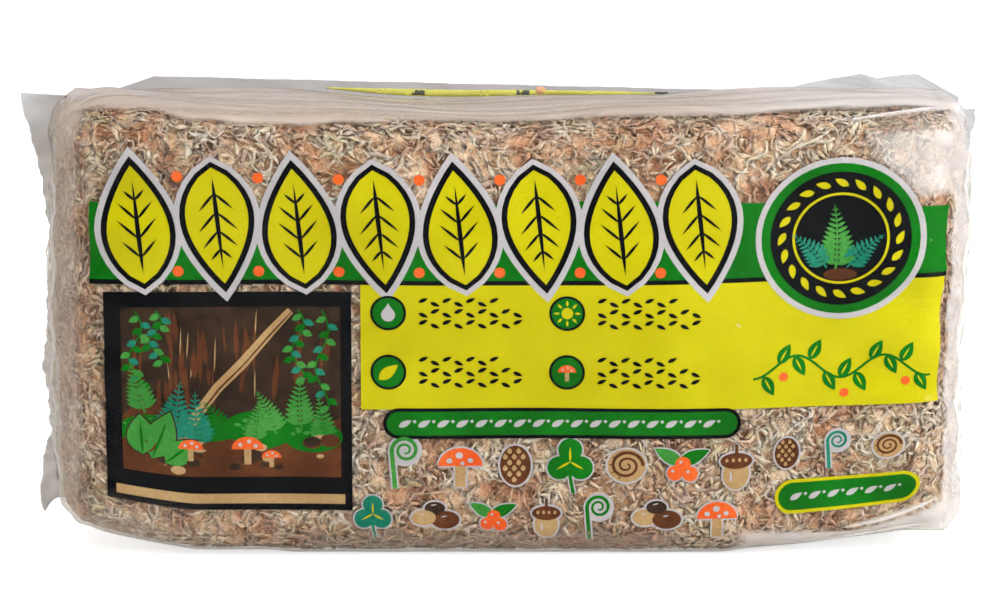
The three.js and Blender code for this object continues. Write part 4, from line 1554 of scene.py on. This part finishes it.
# %% [markdown]
# ### Small motifs on the clear film
# Below the panel the moss shows, and small finds from a wood are printed straight on the
# clear film, each with a thin white line round it. A coil winds round itself, so it is drawn
# in short pieces.


# %% White lines and coils
def keyline(outline, by):
    """The same outline, grown outwards by a few tenths of a millimetre."""
    following, preceding = np.roll(outline, -1, 0), np.roll(outline, 1, 0)
    along = following - preceding
    along /= np.maximum(np.linalg.norm(along, axis=1, keepdims=True), 1e-6)
    area = np.sum(outline[:, 0] * following[:, 1] - following[:, 0] * outline[:, 1])
    aside = along[:, ::-1] * (1, -1) * math.copysign(by, area)
    return outline + aside


def small(colour, level, outline, line=0.55):
    """A shape with a white line round it."""
    ink("white", 2, keyline(outline, line))
    ink(colour, level, outline)


def ink_coil(colour, level, line, widths, steps=3):
    """A long line that winds round itself, in pieces of a few steps, each a plain outline."""
    outline = stroke(line, widths)
    one_side, other_side = outline[: len(line)], outline[len(line) :][::-1]
    for start in range(0, len(line) - 1, steps):
        piece = slice(start, start + steps + 1)
        ink(colour, level, np.concatenate([one_side[piece], other_side[piece][::-1]]))


# %% Coiled motifs
def fiddlehead(x, z, size, colour):
    """A young fern frond, still rolled up, on its stem."""
    turn = np.linspace(0, 3.6 * np.pi, 44)
    radius = size * (0.5 - 0.4 * turn / turn[-1])
    coil = np.stack([x + radius * np.cos(np.pi - turn), z + radius * np.sin(np.pi - turn)], 1)
    rise = np.linspace(0, 1, 8, endpoint=False)
    stem = np.stack([x - size * (0.38 + 0.12 * rise), z - size * 1.5 * (1 - rise)], 1)
    line = np.concatenate([stem, coil])
    width = np.linspace(size * 0.17, size * 0.07, len(line))
    first_turn = slice(0, 26)
    ink("white", 2, stroke(line[first_turn], width[first_turn] + 1.0))
    ink("white", 2, circle(x, z, size * 0.5 + 0.9, 1, 28))
    ink_coil(colour, 4, line, width)


def snail_shell(x, z, size):
    """A round shell with its coil and a few ribs."""
    small("tan", 4, circle(x, z, size * 0.8, 0.9, 30))
    turn = np.linspace(0, 4.4 * np.pi, 50)
    radius = size * (0.7 - 0.62 * turn / turn[-1])
    coil = np.stack([x + radius * np.cos(turn), z + radius * 0.9 * np.sin(turn)], 1)
    ink_coil("brown", 5, coil, np.linspace(size * 0.15, size * 0.07, 50))
    for step in range(7):
        angle = 40 + 34 * step
        rib_x = x + size * 0.74 * math.cos(math.radians(angle))
        rib_z = z + size * 0.66 * math.sin(math.radians(angle))
        ink("soil", 6, leaf(rib_x, rib_z, size * 0.16, size * 0.05, angle + 180, 0, 5))


# %% Plain motifs
def acorn(x, z, size):
    """An acorn in its cup, with a stalk, a gleam and four light scales."""
    half_stalk = size * 0.07
    stalk = band(x - half_stalk, x + half_stalk, z + size * 0.5, z + size * 0.95, 3)
    small("tan", 4, circle(x, z - size * 0.35, size * 0.55, 1.25, 24))
    small("brown", 5, circle(x, z + size * 0.22, size * 0.68, 0.52, 24))
    small("brown", 5, stalk, 0.3)
    ink("white", 6, leaf(x - size * 0.22, z - size * 0.7, size * 0.5, size * 0.1, 90, 0, 6))
    for dx in (-0.4, -0.13, 0.13, 0.4):
        ink("tan", 6, leaf(x + dx * size, z + size * 0.16, size * 0.2, size * 0.14, 90, 0, 6))


def cone_fruit(x, z, size):
    """A cone, with light scales in staggered rows wherever they fit in its oval."""
    small("brown", 4, circle(x, z, size * 0.62, 1.35, 28))
    for row in range(6):
        for column in range(-1, 2):
            aside = (column + 0.5 * (row % 2)) * size * 0.36
            up = row * size * 0.24 - size * 0.72
            if (aside / 0.5) ** 2 + ((up + size * 0.12) / 0.68) ** 2 < size**2:
                scale = leaf(x + aside - size * 0.05, z + up, size * 0.26, size * 0.2, 90, 0, 6)
                ink("tan", 5, scale)


# %% Pebbles, clover, berries and a big toadstool
PEBBLE_GROUP = ((-0.55, 0, 0.6, "tan"), (0.5, -0.1, 0.7, "brown"), (0, 0.5, 0.5, "soil"))
CAP_SPOTS = ((-0.5, 0.25, 0.14), (-0.05, 0.5, 0.17), (0.45, 0.26, 0.13), (0.1, 0.12, 0.1))


def pebble_group(x, z, size):
    for dx, dz, radius, colour in PEBBLE_GROUP:
        small(colour, 4, circle(x + dx * size, z + dz * size, radius * size, 0.66, 24))
        gleam_x, gleam_z = x + (dx - 0.2) * size, z + (dz + 0.14) * size
        ink("white", 6, leaf(gleam_x, gleam_z, size * 0.32, size * 0.07, 12, 0, 6))


def clover(x, z, size, colour):
    stem = np.array([[x + size * 0.12, z - size * 1.25], [x, z - size * 0.6], [x, z]])
    small(colour, 3, stroke(stem, np.full(3, size * 0.13)), 0.4)
    for turn in (90, 210, 330):
        px = x + size * 0.47 * math.cos(math.radians(turn))
        pz = z + size * 0.47 * math.sin(math.radians(turn))
        small(colour, 4, circle(px, pz, size * 0.46, 1, 24), 0.45)
        ink("yellow", 5, leaf(x, z, size * 0.6, size * 0.09, turn, 0, 6))


def berries(x, z, size):
    small("green", 3, leaf(x - size * 0.2, z, size * 1.5, size * 0.62, 24), 0.4)
    small("leaf_green", 3, leaf(x, z, size * 1.4, size * 0.6, 150), 0.4)
    for dx, dz in ((-0.32, -0.42), (0.34, -0.46), (0.02, -0.02)):
        small("orange", 5, circle(x + dx * size, z + dz * size, size * 0.34, 1, 20), 0.4)
        ink("white", 6, circle(x + (dx - 0.1) * size, z + (dz + 0.1) * size, size * 0.07, 1, 8))


def big_toadstool(x, z, size):
    small("tan", 4, band(x - size * 0.24, x + size * 0.24, z - size, z + size * 0.1, 6), 0.5)
    top = circle(x, z, size, 0.85, 40)
    small("orange", 5, top[top[:, 1] >= z - size * 0.12], 0.5)
    for dx, dz, spot in CAP_SPOTS:
        ink("white", 6, circle(x + dx * size, z + dz * size, spot * size, 0.9, 12))


# %% Two rows of motifs: shape, x, z, size and for some a colour
MOTIF_ROWS = (
    (fiddlehead, -29, -31.5, 7.4, "leaf_green"),
    (big_toadstool, -14, -36, 6.0),
    (cone_fruit, 1, -36, 6.8),
    (clover, 16, -35, 7.2, "green"),
    (snail_shell, 31.5, -36, 6.6),
    (berries, 47, -35.5, 6.4),
    (acorn, 62, -36.5, 6.6),
    (cone_fruit, 76, -33.5, 5.4),
    (fiddlehead, 90, -30.5, 5.6, "teal"),
    (snail_shell, 104, -33, 5.2),
    (clover, -38, -50, 5.8, "teal"),
    (pebble_group, -21, -51, 5.6),
    (berries, -5, -50.5, 5.4),
    (acorn, 9.5, -51, 5.8),
    (fiddlehead, 24, -48, 6.6, "green"),
    (pebble_group, 40, -51, 5.8),
    (big_toadstool, 57, -51.5, 5.6),
)
for motif, *place_and_size in MOTIF_ROWS:
    motif(*place_and_size)
print("whole print:", len(drawing), "outlines")

# %% [markdown]
# ## The print: laying the ink on the film
# All outlines become faces of one flat bmesh, with the level kept in y for now. Cuts a few
# millimetres apart let the sheet follow the form, closer at the round ends, and then each ink
# is taken out as a piece of its own and laid just under the film. Outlines of one level are
# shuffled by a thousandth of a millimetre, so that no two faces lie in the same place.

# %% Cut the drawing into a fine grid
INK_DEPTH, INK_STEP, INK_SHUFFLE, SHUFFLE_PLACES = 0.16, 0.034, 0.001, 10
TOP_LEVEL = 14
GRID_X = np.concatenate(
    [
        np.arange(-120, -90, 1.25),
        np.arange(-90, -76, 2.5),
        np.arange(-76, 76, 4.0),
        np.arange(76, 90, 2.5),
        np.arange(90, 120.1, 1.25),
    ]
)
GRID_Z = np.arange(-57, 55.1, 2.8)

sheet = bmesh.new()
for order, (ink_index, level, outline) in enumerate(drawing):
    height = level + (order % SHUFFLE_PLACES) * INK_SHUFFLE / INK_STEP
    corners = [sheet.verts.new((x, height, z)) for x, z in outline]
    sheet.faces.new(corners).material_index = ink_index
sheet.normal_update()
bmesh.ops.triangulate(sheet, faces=sheet.faces, ngon_method="EAR_CLIP")

x_cuts = [((x, 0, 0), (1, 0, 0)) for x in GRID_X]
z_cuts = [((0, 0, z), (0, 0, 1)) for z in GRID_Z]
for place, normal in (*x_cuts, *z_cuts):
    everything = [*sheet.verts, *sheet.edges, *sheet.faces]
    bmesh.ops.bisect_plane(sheet, geom=everything, plane_co=place, plane_no=normal)
sheet.normal_update()
bmesh.ops.reverse_faces(sheet, faces=[face for face in sheet.faces if face.normal.y > 0])
print("print sheet:", len(sheet.faces), "faces")

# %% [markdown]
# ### Finish: flexographic ink on film
# Printing ink is thin, satin and slightly uneven: it mottles over a millimetre or so, where
# the plate pressed it out, and a little over a centimetre or two.

# %% Ink finish
MOTTLE, DRIFT, BARK_GRAIN = 0.8 * MM, 14 * MM, 2.6 * MM


def ink_material(name, body, pressed_out, grain=MOTTLE):
    """An ink that mottles between its body colour and a lighter, pressed-out one."""
    finish, tree = new_material(name)
    coords = add_node(tree, "ShaderNodeTexCoord")
    mottle = add_node(
        tree,
        "ShaderNodeTexNoise",
        {"Vector": coords.outputs["Object"], "Scale": 1 / grain, "Detail": 3, "Roughness": 0.6},
    )
    drift = add_node(
        tree,
        "ShaderNodeTexNoise",
        {"Vector": coords.outputs["Object"], "Scale": 1 / DRIFT, "Detail": 1},
    )
    unevenness = add_node(
        tree,
        "ShaderNodeMath",
        {0: mottle.outputs["Fac"], 1: drift.outputs["Fac"]},
        operation="MULTIPLY",
    )
    spread = add_node(tree, "ShaderNodeMapRange", {0: unevenness.outputs[0], 1: 0.12, 2: 0.42})
    colour = add_node(
        tree,
        "ShaderNodeMix",
        {"Factor": spread.outputs[0], 6: linear(body), 7: linear(pressed_out)},
        data_type="RGBA",
    )
    print_ink = add_node(
        tree,
        "ShaderNodeBsdfPrincipled",
        {"Base Color": colour.outputs[2], "Roughness": 0.5, "Specular IOR Level": 0.04},
    )
    add_node(tree, "ShaderNodeOutputMaterial", {"Surface": print_ink.outputs["BSDF"]})
    return finish


# %% Ink colours, each with its slot name
INK_COLOURS = {
    "white": ("#aeacb4", "#bdbbc2", "ink_white"),
    "yellow": ("#b9b306", "#c8c314", "ink_yellow"),
    "green": ("#085c0e", "#0f7a18", "ink_green"),
    "black": ("#06070a", "#101318", "ink_black"),
    "leaf_green": ("#2b7c2e", "#4f9c48", "ink_green"),
    "teal": ("#0f6a58", "#2b8f78", "ink_green"),
    "orange": ("#d8501e", "#ec7338", "ink_accent"),
    "brown": ("#4c2a1a", "#6d4128", "ink_accent"),
    "tan": ("#a4845a", "#c0a276", "ink_accent"),
    "soil": ("#241b16", "#463429", "ink_black"),
}
print("inks:", ", ".join(INK_COLOURS))

# %% A flat web that all inks follow
grid_x, grid_z = np.meshgrid(GRID_X, GRID_Z, indexing="ij")
web = np.stack([grid_x.ravel(), np.full(grid_x.size, -HALF[Y]), grid_z.ravel()], 1)
web_outside = film_surface(web).reshape(*grid_x.shape, 3)
web_inwards = film_surface(web, below=1.0).reshape(*grid_x.shape, 3) - web_outside


def under_film(x, z, depth):
    """Points under the film. Between the cuts they lie on flat cells that all inks share."""
    column = np.clip(np.searchsorted(GRID_X, x, side="right") - 1, 0, len(GRID_X) - 2)
    row = np.clip(np.searchsorted(GRID_Z, z, side="right") - 1, 0, len(GRID_Z) - 2)
    right = ((x - GRID_X[column]) / (GRID_X[column + 1] - GRID_X[column]))[:, None]
    up = ((z - GRID_Z[row]) / (GRID_Z[row + 1] - GRID_Z[row]))[:, None]
    points = 0
    for step_x, share_x in ((0, 1 - right), (1, right)):
        for step_z, share_z in ((0, 1 - up), (1, up)):
            outside = web_outside[column + step_x, row + step_z]
            inwards = web_inwards[column + step_x, row + step_z]
            points = points + share_x * share_z * (outside + inwards * depth[:, None])
    return points


# %% Lay each ink under the film
INK_WALL = 0.01
for ink_index, name in enumerate(INKS):
    body, pressed_out, slot = INK_COLOURS[name]
    grain = BARK_GRAIN if name in ("soil", "brown") else MOTTLE
    finish = ink_material(f"flexographic_ink_{name}", body, pressed_out, grain)
    shape = sheet.copy()
    other = [face for face in shape.faces if face.material_index != ink_index]
    bmesh.ops.delete(shape, geom=other, context="FACES")
    for face in shape.faces:
        face.material_index = 0
    layer = new_piece(f"print_{name}", shape, finish, "film_bag")
    flat = mesh_points(layer.data)
    depth = INK_DEPTH + (TOP_LEVEL - flat[:, Y]) * INK_STEP
    place_points(layer.data, under_film(flat[:, X], flat[:, Z], depth))
    wall(layer, INK_WALL)
    print(layer.name, len(layer.data.polygons), "faces a side")
sheet.free()

# %% [markdown]
# ### Marks on the seam
# The far panel's artwork reaches round to the seam: the edge of a yellow field shows along its
# foot, with three dark register marks and an orange one. The marks lie on the near face of the
# seam, and their colours are painted pale and grey, as a painted veil of the lit cloudy film.

# %% Inks and places of the marks
# Painted veil: these inks are paler and greyer than the print's own, standing in for the lit cloudy
# film.
SEAM_INKS_PAINTED_PALE = {
    "yellow": ("#bcb856", "#c9c566"),
    "black": ("#4a4d48", "#5c605a"),
    "orange": ("#d49d78", "#e0b08e"),
}
SEAM_MARKS = {
    "yellow": (-52, 43, 0.36, 0.7),
    "black_left": (-27.9, -24.3, 0.42, 0.65),
    "black_middle": (1.4, 5, 0.4, 0.68),
    "black_right": (40.2, 43.8, 0.5, 0.68),
    "orange": (6.8, 9.6, 0.44, 0.92),
}
seam_finishes = {
    colour: ink_material(f"flexographic_ink_{colour}_with_painted_veil", *tints)
    for colour, tints in SEAM_INKS_PAINTED_PALE.items()
}
print("seam inks:", ", ".join(seam_finishes))

# %% Print the seam
MARK_STEPS = (60, 1, 2)
YELLOW_LIFT, MARK_LIFT = 0.03, 0.06
TAPERED_MARKS = ("yellow", "orange")
for name, (x0, x1, low, high) in SEAM_MARKS.items():
    colour = name.split("_")[0]
    slot = INK_COLOURS[colour][2]
    block = gridded_block(MARK_STEPS)
    mark = new_piece(f"print_seam_{name}", block, seam_finishes[colour], "film_bag")
    share = mesh_points(mark.data)
    x = np.interp(share[:, X], (-1, 1), (x0, x1))
    taper = 1 - 0.8 * abs(share[:, X]) ** 4 if name in TAPERED_MARKS else 1.0
    on_seam = np.full_like(share, -1.0)
    on_seam[:, X] = np.interp(x, (SEAM_CREST_X[0], SEAM_CREST_X[-1]), (-1, 1))
    on_seam[:, Z] = low + high - 1 + share[:, Z] * (high - low) * taper
    points = seam_points(on_seam)
    points[:, Y] -= (YELLOW_LIFT if colour == "yellow" else MARK_LIFT) + INK_WALL * share[:, Y]
    place_points(mark.data, points)
    mark.data.shade_smooth()
print("seam marks:", len(SEAM_MARKS))
